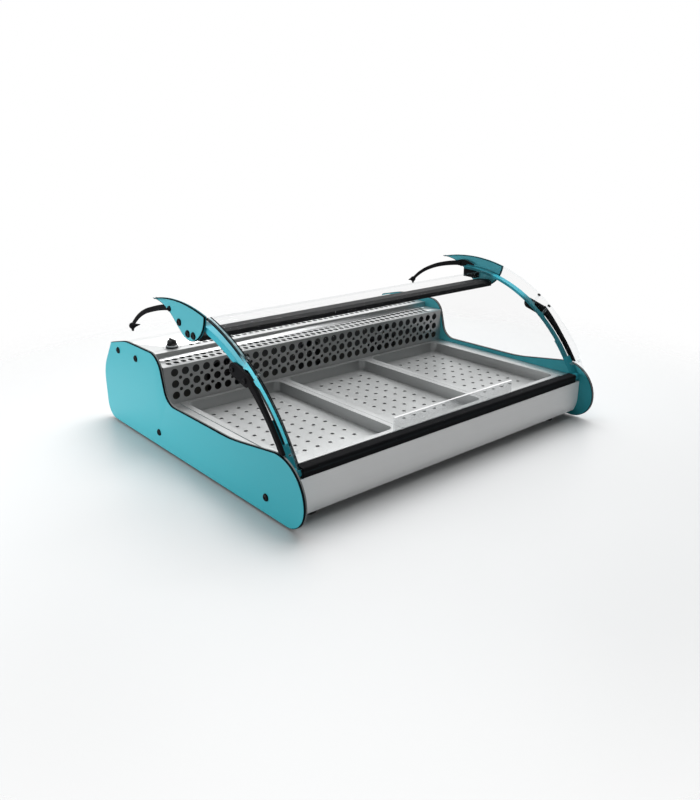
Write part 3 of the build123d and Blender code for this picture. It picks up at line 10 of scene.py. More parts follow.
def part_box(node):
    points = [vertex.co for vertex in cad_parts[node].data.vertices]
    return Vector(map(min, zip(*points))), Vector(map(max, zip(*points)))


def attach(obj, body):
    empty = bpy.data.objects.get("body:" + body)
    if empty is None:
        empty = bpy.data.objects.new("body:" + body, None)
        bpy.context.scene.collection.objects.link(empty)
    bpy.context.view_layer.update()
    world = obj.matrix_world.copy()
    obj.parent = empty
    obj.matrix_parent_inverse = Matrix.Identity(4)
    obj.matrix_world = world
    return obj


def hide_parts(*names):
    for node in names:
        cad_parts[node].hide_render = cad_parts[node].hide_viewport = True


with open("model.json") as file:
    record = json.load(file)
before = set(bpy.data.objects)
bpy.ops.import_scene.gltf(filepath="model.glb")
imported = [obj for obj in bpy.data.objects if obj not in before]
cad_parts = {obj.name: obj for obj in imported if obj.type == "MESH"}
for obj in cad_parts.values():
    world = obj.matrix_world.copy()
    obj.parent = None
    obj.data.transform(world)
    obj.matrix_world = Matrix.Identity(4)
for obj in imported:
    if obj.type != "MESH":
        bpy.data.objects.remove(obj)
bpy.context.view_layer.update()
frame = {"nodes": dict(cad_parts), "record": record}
nodes = frame["nodes"]

# Boxes of pieces that other sizes follow
pane_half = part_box("front_glass")[1].x
vent_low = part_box("top_vent")[0]
cover_low, cover_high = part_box("top_cover")
rear_low, rear_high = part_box("rear_cover")
knob_low, knob_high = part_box("thermostat_knob")

# Camera, for a picture of 700 by 800 pixels; metres and degrees
PICTURE = (700, 800)
FOCAL_PIXELS = 746.9
SENSOR_MM = 36.0
CLIP = (0.05, 60.0)
CAMERA_PLACE = (-1.3333, -1.5674, 0.7896)
LOOK_AZIMUTH = 40.53
LOOK_TILT = 19.60

# Studio: floor, room light that rises towards a bright backdrop
FLOOR_RADIUS = 5.0
FLOOR_FADE = (0.95, 1.7)
ROOM_LIGHT = 0.07
BACKDROP_LIGHT = 1.15
BACKDROP_RISE = 24.0
BACKDROP_BLEND = (0.1, 0.85)

# Soft lights: place, target, width and height, power
LIGHTS = {
    "overhead": ((0.6, 0.6, 3.0), (0.0, 0.0, 0.0), (2.7, 2.7), 128.0),
    "front_fill": ((-0.7, -2.7, 1.0), (0.2, -0.45, 0.15), (3.6, 1.0), 6.0),
    "left_box": ((-2.2, 0.45, 0.25), (-0.525, 0.1, 0.15), (1.4, 0.28), 31.0),
}

# Canopy centre line in the side view; angles about it are in degrees from upright, towards the front
ARC_Y = 0.00725
ARC_Z = -0.0871

# Hook arms, from the eye at the pivot to the ball at the end
HOOK_ANGLES = (-4.6, -32.6)
HOOK_RADII = (0.4865, 0.4820, 0.4760)
HOOK_BOW = 0.005
HOOK_STEP = (-15.2, -20.0)
HOOK_X = (0.5127, 0.5216)
HOOK_HALF_WIDTHS = (0.0078, 0.0052)
HOOK_HALF_THICKNESS = 0.0038
HOOK_STATIONS = 28
PIVOT_ANGLE = HOOK_ANGLES[0] + 1.0
EYE_RADIUS = 0.0076
EYE_HALF_WIDTH = 0.0034
EYE_STATIONS = 32
BALL_RADIUS = 0.0088
STUB_LENGTH = 0.022
STUB_RADII = (0.0052, 0.0012)
NUB_LENGTH = 0.014
NUB_RADIUS = 0.0034

# Plates: widths of their rounded rims, least length of a rim, depth of the skin on a side
FIN_RIM = 0.0024
PANEL_RIM = 0.0014
ARM_RIM = 0.0008
LEG_RIM = 0.0010
LEAST_RIM = 0.030
SKIN = 0.0005

# Shares by which bolt heads and clamp nubs are resized
BOLT_SHARE = 1.3
NUB_SHARE = 0.5

# Arms: deeper outer side at the top, narrower band below; painted shade under the fins and on the lower
# part
ARM_DEEP = 0.008
ARM_DEEP_ANGLES = (12.0, 15.0, 27.0, 35.0)
ARM_NARROW = 0.009
ARM_STEP = (31.0, 34.0)
ARM_SHADE = (12.5, 14.5)
ARM_LOWER_SHADE = (27.0, 31.0)

# Legs: slanted upper end from (angle, radius) to (angle, radius), and the slim part below
LEG_SLANT = ((29.0, 0.4786), (35.4, 0.495))
LEG_SLIM_ANGLES = (34.0, 50.0)
LEG_RADIUS = 0.475
LEG_SLIM_RADIUS = 0.4745
LEG_SLIM_SHARE = 0.6

# Painted shade along the pane's left edge: a dark rim, a painted highlight, then a dark line; and the caps
# that are dark down to an angle
PAINTED_RIM_EDGE = 0.0028 - pane_half
PAINTED_SHADE_LINE = (0.0080 - pane_half, 0.0120 - pane_half)
PAINTED_LINE_ANGLES = (13.0, 63.0)
CAP_ANGLES = (45.0, 50.0)

# Rows of slots in the vent and in the top cover, and how far they are drawn wider
SLOT_ROWS = {
    "top_vent": (vent_low.y + 0.0235, vent_low.y + 0.0525),
    "top_cover": (cover_low.y + 0.0090,),
}
SLOT_STRETCH = {"top_vent": 2.1, "top_cover": 1.5}
SLOT_HALF_WIDTH = 0.0048

# Knob and its dial marks
KNOB_FLUTES = 16
FLUTE_DEPTH = 0.0007
GRIP_RIM = 0.0009
POINTER_HEIGHT = 0.0004
DIAL_MARKS = 11
DIAL_SWEEP = 270.0
DIAL_RADIUS = 0.0215
SHORT_MARK = 0.003
LONG_MARK = 0.005
MARKS_PER_LONG = 5
MARK_WIDTH = 0.0008
MARK_HEIGHT = 0.0003

# Screws of the top cover and of the rear cover
SCREW_RADIUS = 0.0042
SCREW_HEIGHT = 0.0016
SCREW_SIDE = cover_high.x - 0.0195
COVER_SCREW_XS = (-SCREW_SIDE, 0.0, SCREW_SIDE)
COVER_SCREW_YS = (cover_low.y + 0.0475, cover_high.y - 0.040)
REAR_SCREW_XS = (-SCREW_SIDE, -0.17, 0.17, SCREW_SIDE)
REAR_SCREW_ZS = (rear_low.z + 0.010, rear_low.z + 0.114)

# Louvres of the rear cover
LOUVRE_XS = (-0.085, 0.085)
LOUVRE_ROWS = 5
LOUVRE_FIRST = 0.026
LOUVRE_PITCH = 0.018
LOUVRE_HALF_LENGTH = 0.058
LOUVRE_HALF_HEIGHT = 0.0052
LOUVRE_PROUD = 0.0045

# Finishes: painted shade of the boards along the depth, darker to the front; blurs of drawn edges, lines
# and colours of brushed steel
SHADE_FADE_YS = (-0.45, 0.40)
CORE_BLUR = 0.0002
LINE_BLUR = 0.0003
BRUSH_LINES = 420.0
BRUSH_LENGTHS = 2.5
STEEL = ((0.52, 0.53, 0.53), (0.66, 0.67, 0.67), 0.34)

# Tidying of copied shapes: merging distance, angle under which faces are one
MERGE = 2e-5
FLAT_ANGLE = 0.2
ON_PLANE = 1e-6


class Value:
    """One shader value; arithmetic on it adds Math nodes."""

    def __init__(self, web, socket):
        self.web = web
        self.socket = socket

    def math(self, operation, *others):
        return self.web.add("Math", {"operation": operation}, self, *others)

    def __add__(self, other):
        return self.math("ADD", other)

    def __sub__(self, other):
        return self.math("SUBTRACT", other)

    def __rsub__(self, other):
        return self.web.add("Math", {"operation": "SUBTRACT"}, other, self)

    def __mul__(self, other):
        return self.math("MULTIPLY", other)

    def __truediv__(self, other):
        return self.math("DIVIDE", other)

    def __neg__(self):
        return 0.0 - self

    def __abs__(self):
        return self.math("ABSOLUTE")

    __radd__ = __add__
    __rmul__ = __mul__


class Web:
    """A node tree in the making."""

    def __init__(self, tree):
        self.tree = tree

    def add(self, kind, settings=None, *values, inputs=None, output=0):
        node = self.tree.nodes.new("ShaderNode" + kind)
        for name, value in (settings or {}).items():
            setattr(node, name, value)
        places = dict(enumerate(values))
        places.update(inputs or {})
        for place, value in places.items():
            self.feed(node.inputs[place], value)
        return Value(self, node.outputs[output])

    def feed(self, socket, value):
        if isinstance(value, Value):
            self.tree.links.new(value.socket, socket)
        elif socket.type == "RGBA" and len(value) == 3:
            socket.default_value = (*value, 1.0)
        else:
            socket.default_value = value

    def blend(self, share, first, second):
        """Mix of two colours."""
        return self.add("Mix", {"data_type": "RGBA"}, inputs={0: share, 6: first, 7: second}, output=2)

    def step(self, value, low, high):
        """Smooth rise from 0 at low to 1 at high."""
        return self.add("MapRange", {"interpolation_type": "SMOOTHSTEP"}, value, low, high, 0.0, 1.0)

    def part(self, vector, axis):
        return self.add("SeparateXYZ", None, vector, output=axis)


class Finish(Web):
    """A material in the making: its nodes, and the shader that they feed."""

    def __init__(self, name, **constants):
        self.material = bpy.data.materials.new(name)
        self.material.use_nodes = True
        super().__init__(self.material.node_tree)
        self.shader = self.tree.nodes["Principled BSDF"]
        for socket, value in constants.items():
            self.out(socket.replace("_", " "), value)
        self.spot = self.add("TexCoord", output="Object")
        self.facing = self.add("TexCoord", output="Normal")

    def out(self, socket, value):
        self.feed(self.shader.inputs[socket], value)

    def noise(self, scale, detail=3.0, stretch=None):
        spot = self.spot
        if stretch:
            spot = self.add("Mapping", None, inputs={"Vector": spot, "Scale": stretch})
        return self.add("TexNoise", None, inputs={"Vector": spot, "Scale": scale, "Detail": detail})

    def arc(self):
        """Angle about the canopy's centre line, and how far the surface faces away from that line."""
        y = self.part(self.spot, "Y") - ARC_Y
        z = self.part(self.spot, "Z") - ARC_Z
        radius = (y * y + z * z).math("SQRT")
        out = (self.part(self.facing, "Y") * y + self.part(self.facing, "Z") * z) / radius
        return (-y).math("ARCTAN2", z), out

    def rise(self, angle, low, high):
        """Smooth rise between two angles in degrees."""
        return self.step(angle, math.radians(low), math.radians(high))

    def past(self, value, limit, blur=LINE_BLUR):
        """One past a limit, with a slight blur."""
        return self.step(value, limit - blur, limit + blur)

    def window(self, value, low, high):
        """One between two limits, with a slight blur."""
        return self.past(value, low) * (1.0 - self.past(value, high))

    def bump(self, height, depth):
        self.out("Normal", self.add("Bump", None, inputs={"Height": height, "Distance": depth}))


def laminate(name, deep, pale):
    """Coloured face of the compact board, a little paler towards the rear: painted shade that darkens it
    towards the front.
    """
    finish = Finish(name, Specular_IOR_Level=0.25)
    cloud = finish.noise(4.0, 4.0)
    fleck = finish.noise(320.0, 2.0)
    # Painted shade along the depth: darker at the front, paler at the rear.
    fade = finish.step(finish.part(finish.spot, "Y"), *SHADE_FADE_YS)
    finish.out("Base Color", finish.blend(0.75 * fade + 0.15 * cloud + 0.10 * fleck, deep, pale))
    finish.out("Roughness", 0.30 + 0.10 * cloud + 0.06 * fleck)
    finish.bump(finish.noise(700.0, 2.0), 0.00004)
    return finish.material


def cut_edge(name, node, inner_deep, inner_pale):
    """Cut edge of a board: black along its outer half, paler along its inner half."""
    finish = Finish(name, Roughness=0.7, Specular_IOR_Level=0.02)
    low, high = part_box(node)
    inner = 1.0 - finish.past(abs(finish.part(finish.spot, "X")), (low.x + high.x) / 2, CORE_BLUR)
    flat = 1.0 - finish.step(abs(finish.part(finish.facing, "X")), 0.3, 0.4)
    fleck = finish.noise(320.0, 2.0)
    black = finish.blend(fleck, (0.002, 0.005, 0.006), (0.005, 0.011, 0.013))
    pale = finish.blend(fleck, inner_deep, inner_pale)
    finish.out("Base Color", finish.blend(inner * flat, black, pale))
    finish.bump(fleck, 0.00004)
    return finish.material


def band():
    """Cyan band of the arms: dark underneath, and dark on its outer side below the leg's end; with painted
    shade under the fins and low down, and painted light and shade on the cyan itself.
    """
    finish = Finish("cyan_band", Specular_IOR_Level=0.15)
    angle, out = finish.arc()
    x = finish.part(finish.spot, "X")
    sideways = finish.part(finish.facing, "X") * x.math("SIGN")
    low = finish.rise(angle, *ARM_STEP)
    inner = finish.step(-sideways, 0.5, 0.8)
    outer = finish.step(sideways, 0.5, 0.8)
    under = finish.step(-out, 0.3, 0.6)
    # Painted shade where the band runs under the fins.
    shade = 1.0 - finish.rise(angle, *ARM_SHADE)
    # Painted shade on the lower part of the inner side, and of the whole right arm.
    right = finish.step(x, -0.1, 0.1)
    lower_shade = inner.math("MAXIMUM", right) * finish.rise(angle, *ARM_LOWER_SHADE)
    cloud = finish.noise(6.0)
    # Painted shade and light: the cyan is darker above the step, where the band faces the overhead light,
    # and brighter below it.
    shaded_upper_cyan = finish.blend(cloud, (0.030, 0.340, 0.430), (0.042, 0.390, 0.490))
    lit_lower_cyan = finish.blend(cloud, (0.085, 0.640, 0.780), (0.105, 0.720, 0.860))
    cyan = finish.blend(low, shaded_upper_cyan, lit_lower_cyan)
    teal = finish.blend(cloud, (0.010, 0.115, 0.145), (0.016, 0.150, 0.185))
    dark = finish.blend(cloud, (0.002, 0.006, 0.007), (0.005, 0.012, 0.014))
    colour = finish.blend(shade.math("MAXIMUM", lower_shade), cyan, teal)
    finish.out("Base Color", finish.blend((outer * low).math("MAXIMUM", under), colour, dark))
    finish.out("Roughness", 0.34 + 0.10 * finish.noise(90.0))
    finish.bump(finish.noise(60.0), 0.00003)
    return finish.material


def enamel(name, deep, pale, rough, grain=900.0, depth=0.00003, gloss=0.5):
    """Painted or moulded skin with a fine grain."""
    finish = Finish(name, Specular_IOR_Level=gloss)
    cloud = finish.noise(9.0, 4.0)
    fine = finish.noise(grain, 2.0)
    finish.out("Base Color", finish.blend(0.8 * cloud + 0.2 * fine, deep, pale))
    finish.out("Roughness", rough - 0.06 + 0.12 * cloud + 0.05 * fine)
    finish.bump(fine, depth)
    return finish.material


def brush(finish, deep, pale, rough, along="X"):
    """Fine lines along one axis and faint wiping marks; hands back the colour."""
    stretch = [BRUSH_LINES] * 3
    stretch["XYZ".index(along)] = BRUSH_LENGTHS
    streak = finish.noise(1.0, 3.0, stretch)
    wipe = finish.noise(5.0, 3.0)
    finish.out("Roughness", rough - 0.08 + 0.14 * streak + 0.06 * wipe)
    finish.bump(streak, 0.00002)
    return finish.blend(0.55 * streak + 0.45 * wipe, deep, pale)


def brushed(name, deep, pale, rough, along="X", metal=1.0):
    """Brushed sheet metal."""
    finish = Finish(name, Metallic=metal)
    finish.out("Base Color", brush(finish, deep, pale, rough, along))
    return finish.material


def slotted(name, node):
    """Brushed steel whose slot walls are painted near-black as shade."""
    finish = Finish(name, Metallic=1.0)
    steel = brush(finish, *STEEL)
    y = finish.part(finish.spot, "Y")
    # Painted shade: the slot walls are near-black.
    shaded_wall = 1.0 - finish.step(abs(finish.part(finish.facing, "Z")), 0.4, 0.7)
    half = SLOT_HALF_WIDTH * SLOT_STRETCH[node]
    near = [finish.window(y, row - half, row + half) for row in SLOT_ROWS[node]]
    finish.out("Base Color", finish.blend(shaded_wall * sum(near[1:], near[0]), steel, (0.004, 0.004, 0.005)))
    return finish.material


def pane():
    """Clear curved glass with tinted cut edges; along its left edge painted shade and a painted highlight
    of the glass edge.
    """
    finish = Finish("pane", IOR=1.5, Specular_IOR_Level=0.02)
    angle, out = finish.arc()
    x = finish.part(finish.spot, "X")
    edge = 1.0 - finish.step(abs(out), 0.4, 0.8)
    high = 1.0 - finish.rise(angle, *ARM_STEP)
    run = finish.window(angle, *[math.radians(limit) for limit in PAINTED_LINE_ANGLES])
    front = finish.step(out, 0.4, 0.8)
    # Along the left edge only: a dark rim and a dark line, painted shade, with a painted highlight between
    # them.
    rim = high * (1.0 - finish.past(x, PAINTED_RIM_EDGE))
    light = high * front * finish.window(x, PAINTED_RIM_EDGE, PAINTED_SHADE_LINE[0])
    dark = run * rim.math("MAXIMUM", front * finish.window(x, *PAINTED_SHADE_LINE))
    gloss = finish.add("LayerWeight", None, 0.35, output="Fresnel")
    smear = finish.noise(7.0)
    clear = finish.blend(edge, (0.010, 0.014, 0.015), (0.34, 0.56, 0.62))
    tinted = finish.blend(light, clear, (0.30, 0.48, 0.52))
    finish.out("Base Color", finish.blend(dark, tinted, (0.003, 0.006, 0.007)))
    finish.out("Roughness", 0.02 + 0.01 * smear + 0.6 * dark)
    glass = 0.006 + 0.010 * smear + 0.04 * gloss + 0.08 * edge
    finish.out("Alpha", glass.math("MAXIMUM", 0.95 * dark).math("MAXIMUM", 0.60 * light * run))
    return finish.material


def clear_strip():
    """Clear plastic strip whose upper edge is painted white as a highlight."""
    finish = Finish("clear_strip", Roughness=0.08)
    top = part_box("ticket_rail")[1].z
    # Painted highlight: the upward faces near the top are white.
    up = finish.step(finish.part(finish.facing, "Z"), 0.5, 0.9)
    painted_glint = up * finish.step(finish.part(finish.spot, "Z"), top - 0.004, top - 0.001)
    haze = finish.noise(30.0)
    finish.out("Base Color", finish.blend(painted_glint, (0.80, 0.84, 0.86), (0.95, 0.95, 0.95)))
    finish.out("Alpha", 0.16 + 0.08 * haze + 0.7 * painted_glint)
    return finish.material


def sleeve():
    """Clear acrylic sleeve."""
    finish = Finish("clear_sleeve", Roughness=0.08)
    haze = finish.noise(120.0)
    rim = finish.add("LayerWeight", None, 0.4, output="Facing")
    finish.out("Base Color", finish.blend(haze, (0.62, 0.70, 0.72), (0.74, 0.80, 0.82)))
    finish.out("Alpha", 0.03 + 0.03 * haze + 0.10 * rim)
    return finish.material


def clear_cap():
    """Clear disc with a dark rim, and dark all over on the right side."""
    finish = Finish("clear_cap", Roughness=0.2, Specular_IOR_Level=0.1)
    angle, out = finish.arc()
    edge = 1.0 - finish.step(abs(out), 0.4, 0.7)
    right = finish.step(finish.part(finish.spot, "X"), -0.1, 0.1)
    dark = edge.math("MAXIMUM", right) * (1.0 - finish.rise(angle, *CAP_ANGLES))
    haze = finish.noise(200.0)
    finish.out("Base Color", finish.blend(dark, (0.60, 0.68, 0.70), (0.010, 0.011, 0.012)))
    finish.out("Alpha", 0.04 + 0.03 * haze + 0.85 * dark)
    return finish.material


def collar_painted_shadow():
    """Black collar with a pale ring round its upper edge; the black of its lower part is a painted shadow
    under the knob.
    """
    finish = Finish("collar_painted_shadow", Roughness=0.4)
    foot = cover_high.z
    height = knob_low.z - foot
    z = finish.part(finish.spot, "Z")
    # Painted shadow: black below the pale ring.
    edge = finish.step(z, foot + 0.55 * height, foot + 0.60 * height)
    grain = finish.noise(500.0)
    black = finish.blend(grain, (0.010, 0.010, 0.011), (0.022, 0.022, 0.024))
    pale = finish.blend(grain, (0.52, 0.53, 0.54), (0.62, 0.63, 0.64))
    finish.out("Base Color", finish.blend(edge, black, pale))
    finish.bump(grain, 0.00003)
    return finish.material


def foam():
    """Pale cut foam with open cells."""
    finish = Finish("foam", Roughness=0.9)
    cells = finish.noise(420.0, 2.0)
    finish.out("Base Color", finish.blend(cells, (0.62, 0.55, 0.33), (0.84, 0.79, 0.58)))
    finish.bump(cells, 0.0004)
    return finish.material


def copper():
    """Copper tube with brown tarnish."""
    finish = Finish("copper", Metallic=1.0)
    tarnish = finish.noise(38.0, 5.0)
    finish.out("Base Color", finish.blend(tarnish, (0.36, 0.13, 0.06), (0.80, 0.42, 0.26)))
    finish.out("Roughness", 0.22 + 0.25 * tarnish)
    finish.bump(finish.noise(300.0), 0.00003)
    return finish.material


def floor_paint():
    """Pale, slightly glossy floor that fades out into the background."""
    finish = Finish("pale_floor", Specular_IOR_Level=0.4)
    x = finish.part(finish.spot, "X")
    y = finish.part(finish.spot, "Y")
    fade = 1.0 - finish.step((x * x + y * y).math("SQRT"), *FLOOR_FADE)
    cloud = finish.noise(2.0)
    finish.out("Base Color", finish.blend(cloud, (0.602, 0.610, 0.614), (0.622, 0.630, 0.634)))
    finish.out("Roughness", 0.36 + 0.04 * cloud)
    finish.out("Alpha", fade)
    return finish.material


PANEL_EDGE = cut_edge("panel_edge", "right_side_panel", (0.16, 0.17, 0.17), (0.22, 0.23, 0.23))
FIN_EDGE = cut_edge("fin_edge", "right_fin", (0.020, 0.230, 0.280), (0.030, 0.270, 0.320))
BOARD_FACE = laminate("teal_laminate", (0.022, 0.275, 0.330), (0.062, 0.370, 0.430))
FIN_FACE = laminate("fin_laminate", (0.055, 0.350, 0.415), (0.085, 0.400, 0.470))

# Finish of each slot
FINISHES = {
    "teal_board": BOARD_FACE,
    "teal_band": band(),
    "dark_teal": enamel("dark_teal", (0.012, 0.170, 0.215), (0.018, 0.220, 0.270), 0.45, gloss=0.08),
    "black_metal": enamel(
        "black_powder", (0.006, 0.006, 0.007), (0.014, 0.014, 0.015), 0.55, 600.0, 0.00002, 0.012),
    "bolts": enamel("black_oxide", (0.004, 0.004, 0.005), (0.010, 0.010, 0.011), 0.45, gloss=0.08),
    "stainless": brushed("stainless", *STEEL),
    "front_aluminium": brushed(
        "satin_aluminium", (0.76, 0.765, 0.765), (0.84, 0.845, 0.845), 0.62, metal=0.45),
    "rubber": enamel("rubber", (0.008, 0.008, 0.008), (0.022, 0.022, 0.022), 0.75, 300.0, 0.0001),
    "foam": foam(),
    "glass": pane(),
    "clear_plastic": clear_strip(),
    "black_plastic": enamel(
        "black_plastic", (0.008, 0.008, 0.008), (0.018, 0.018, 0.019), 0.5, 500.0, 0.00006, 0.2),
    "motor_paint": enamel("motor_paint", (0.02, 0.02, 0.022), (0.05, 0.05, 0.052), 0.45),
    "coil_aluminium": brushed("coil_aluminium", (0.55, 0.56, 0.57), (0.74, 0.75, 0.76), 0.38, "Z"),
    "copper": copper(),
    "grey_plastic": enamel("grey_plastic", (0.20, 0.21, 0.22), (0.28, 0.29, 0.30), 0.55, 500.0, 0.00006),
    "rocker_plastic": enamel("rocker_plastic", (0.010, 0.010, 0.010), (0.020, 0.020, 0.020), 0.22),
    "lamp_white": enamel("opal_white", (0.78, 0.78, 0.75), (0.86, 0.86, 0.83), 0.38),
}
TRAY_STEEL = brushed("tray_steel", (0.40, 0.41, 0.41), (0.52, 0.53, 0.53), 0.40, "Y")
# Galvanised steel inside the case, painted near-black as the shade it stands in.
SHADED_STEEL = enamel("galvanised_painted_shade", (0.030, 0.031, 0.032), (0.060, 0.061, 0.062), 0.5)

# Finishes of single pieces, which come before that of the slot
NODE_FINISHES = {
    "light_bar": enamel("bar_powder", (0.015, 0.015, 0.016), (0.026, 0.026, 0.027), 0.5, gloss=0.05),
    "knob_collar": collar_painted_shadow(),
    "glass_studs": sleeve(),
    "glass_caps": clear_cap(),
    "fan_plate": SHADED_STEEL,
    "fan_brackets": SHADED_STEEL,
    "air_grille": brushed("grille_steel", (0.42, 0.425, 0.425), (0.54, 0.545, 0.545), 0.45),
    "top_vent": slotted("vent_steel", "top_vent"),
    "top_cover": slotted("cover_steel", "top_cover"),
    "display_tray_left": TRAY_STEEL,
    "display_tray_centre": TRAY_STEEL,
    "display_tray_right": TRAY_STEEL,
}


def dress_nodes():
    """Give each piece the finish of its slot, or its own."""
    for entry in frame["record"]["subparts"]:
        node = nodes[entry["node"]]
        finish = NODE_FINISHES.get(entry["node"], FINISHES[entry["material_slot"]])
        node.data.materials.clear()
        node.data.materials.append(finish)


def added(name, data):
    """New object in the scene."""
    made = bpy.data.objects.new(name, data)
    bpy.context.scene.collection.objects.link(made)
    return made


def aim(thing, place, look):
    """Put a camera or a light at a place, looking along a direction."""
    thing.location = place
    thing.rotation_mode = "QUATERNION"
    thing.rotation_quaternion = look.to_track_quat("-Z", "Y")


def direction(azimuth, elevation):
    """Unit vector from two angles in degrees; azimuth from +y towards +x."""
    turn, lift = math.radians(azimuth), math.radians(elevation)
    return Vector((math.sin(turn) * math.cos(lift), math.cos(turn) * math.cos(lift), math.sin(lift)))


def piece(name, shape, body, slot, node=None, finishes=(), crease=40.0):
    """Turn a finished shape into a piece that rides on a body."""
    bmesh.ops.recalc_face_normals(shape, faces=shape.faces)
    mesh = bpy.data.meshes.new(name)
    shape.to_mesh(mesh)
    shape.free()
    mesh.shade_smooth()
    mesh.set_sharp_from_angle(angle=math.radians(crease))
    for finish in finishes or (FINISHES[slot],):
        mesh.materials.append(finish)
    made = added(name, mesh)
    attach(made, body)
    if node:
        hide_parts(node)


def ring(shape, centre, across, up, segments):
    """Closed ring of edges round a centre, stretched by two half-axes."""
    turn = Matrix((across, up, across.cross(up).normalized())).transposed().to_4x4()
    turn.translation = centre
    made = bmesh.ops.create_circle(shape, segments=segments, radius=1.0, matrix=turn)
    return list({edge for vert in made["verts"] for edge in vert.link_edges})


def tube(shape, stations, segments=20, closed=False):
    """Skin over a row of rings, each given by its centre and two half-axes."""
    rings = [ring(shape, *station, segments) for station in stations]
    for near, far in zip(rings, rings[1:]):
        bmesh.ops.bridge_loops(shape, edges=near + far)
    if closed:
        bmesh.ops.bridge_loops(shape, edges=rings[-1] + rings[0])
    else:
        for end in (rings[0], rings[-1]):
            bmesh.ops.edgeloop_fill(shape, edges=end)


def turned(shape, foot, axis, outline, segments=24):
    """Round body along an axis from (radius, height) pairs."""
    axis = Vector(axis)
    across = axis.orthogonal().normalized()
    up = axis.cross(across)
    stations = [(Vector(foot) + axis * height, across * radius, up * radius) for radius, height in outline]
    tube(shape, stations, segments)


def block(shape, size, centre):
    """Rectangular block round a centre; hands back its corners."""
    corners = bmesh.ops.create_cube(shape, size=1.0)["verts"]
    bmesh.ops.scale(shape, verts=corners, vec=size)
    bmesh.ops.translate(shape, verts=corners, vec=centre)
    return corners


def rounded(shape, edges, width, segments=2):
    """Round edges off."""
    bmesh.ops.bevel(
        shape, geom=edges, offset=width, affect="EDGES", segments=segments, profile=0.5, material=-1)


def cut(shape, place, normal, clear=False):
    """Cut a shape by a plane, and close the cut where the outer part is cleared."""
    everything = shape.verts[:] + shape.edges[:] + shape.faces[:]
    made = bmesh.ops.bisect_plane(
        shape, geom=everything, dist=ON_PLANE, plane_co=place, plane_no=normal, clear_outer=clear)
    if clear:
        edges = [part for part in made["geom_cut"] if isinstance(part, bmesh.types.BMEdge)]
        bmesh.ops.edgeloop_fill(shape, edges=edges)


def rise(value, low, high):
    """Smooth rise from 0 at low to 1 at high."""
    share = min(max((value - low) / (high - low), 0.0), 1.0)
    return share * share * (3 - 2 * share)


def outward(angle):
    """Direction away from the canopy's centre line at an angle in degrees from upright."""
    turn = math.radians(angle)
    return Vector((0.0, -math.sin(turn), math.cos(turn)))


def arc_point(angle, radius):
    return Vector((0.0, ARC_Y, ARC_Z)) + outward(angle) * radius


def arc_place(point):
    """Angle in degrees and radius of a point about the canopy's centre line."""
    y, z = point.y - ARC_Y, point.z - ARC_Z
    return math.degrees(math.atan2(-y, z)), math.hypot(y, z)


def node_copy(node, joined=True):
    """Copy of a piece's shape with its seams merged and, where asked, its flat faces joined."""
    shape = bmesh.new()
    shape.from_mesh(nodes[node].data)
    bmesh.ops.remove_doubles(shape, verts=shape.verts, dist=MERGE)
    if joined:
        limit = math.radians(FLAT_ANGLE)
        bmesh.ops.dissolve_limit(shape, angle_limit=limit, verts=shape.verts, edges=shape.edges)
    return shape


def groups(parts, neighbours):
    """Groups of parts that hang together."""
    left = dict.fromkeys(parts)
    found = []
    while left:
        group = [left.popitem()[0]]
        for part in group:
            for other in neighbours(part):
                if other in left:
                    del left[other]
                    group.append(other)
        found.append(group)
    return found


def edges_beside(edge):
    return [other for vert in edge.verts for other in vert.link_edges]


def verts_beside(vert):
    return [edge.other_vert(vert) for edge in vert.link_edges]


def plate_rims(shape):
    """Edges round a plate's two flat faces, without those of its small holes."""
    rims = [edge for edge in shape.edges if sum(abs(face.normal.x) > 0.99 for face in edge.link_faces) == 1]
    kept = []
    for loop in groups(rims, edges_beside):
        ys = [vert.co.y for edge in loop for vert in edge.verts]
        if max(ys) - min(ys) > LEAST_RIM:
            kept += loop
    return kept


def boards():
    """Side panels and fins with rounded rims; all but their flat faces have the cut edge's finish."""
    for side in ("left", "right"):
        for name, width, body, face_finish, edge_finish in (
                ("side_panel", PANEL_RIM, "base", BOARD_FACE, PANEL_EDGE),
                ("fin", FIN_RIM, "canopy", FIN_FACE, FIN_EDGE)):
            node = side + "_" + name
            shape = node_copy(node)
            rounded(shape, plate_rims(shape), width)
            shape.normal_update()
            for face in shape.faces:
                face.material_index = int(abs(face.normal.x) < 0.97)
            piece(node + "_board", shape, body, "teal_board", node, (face_finish, edge_finish), 12.0)


def arms():
    """Arms with a deeper outer side at the top and a narrower band below."""
    start, full, last, end = ARM_DEEP_ANGLES
    for side in ("left", "right"):
        node = side + "_arm"
        outside = max(abs(corner.x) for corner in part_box(node))
        shape = node_copy(node)
        for angle in ARM_STEP:
            cut(shape, arc_point(angle, 0.0), outward(angle + 90.0))
        rims = plate_rims(shape)
        radii = [arc_place(vert.co)[1] for vert in shape.verts]
        middle = (max(radii) + min(radii)) / 2
        for vert in shape.verts:
            if abs(vert.co.x) > outside - SKIN:
                angle, radius = arc_place(vert.co)
                if radius < middle:
                    deep = ARM_DEEP * rise(angle, start, full) * (1 - rise(angle, last, end))
                    vert.co -= outward(angle) * deep
                narrow = ARM_NARROW * rise(angle, *ARM_STEP)
                vert.co.x -= math.copysign(narrow, vert.co.x)
        rounded(shape, rims, ARM_RIM)
        piece(node + "_band", shape, "canopy", "teal_band", node, crease=15.0)


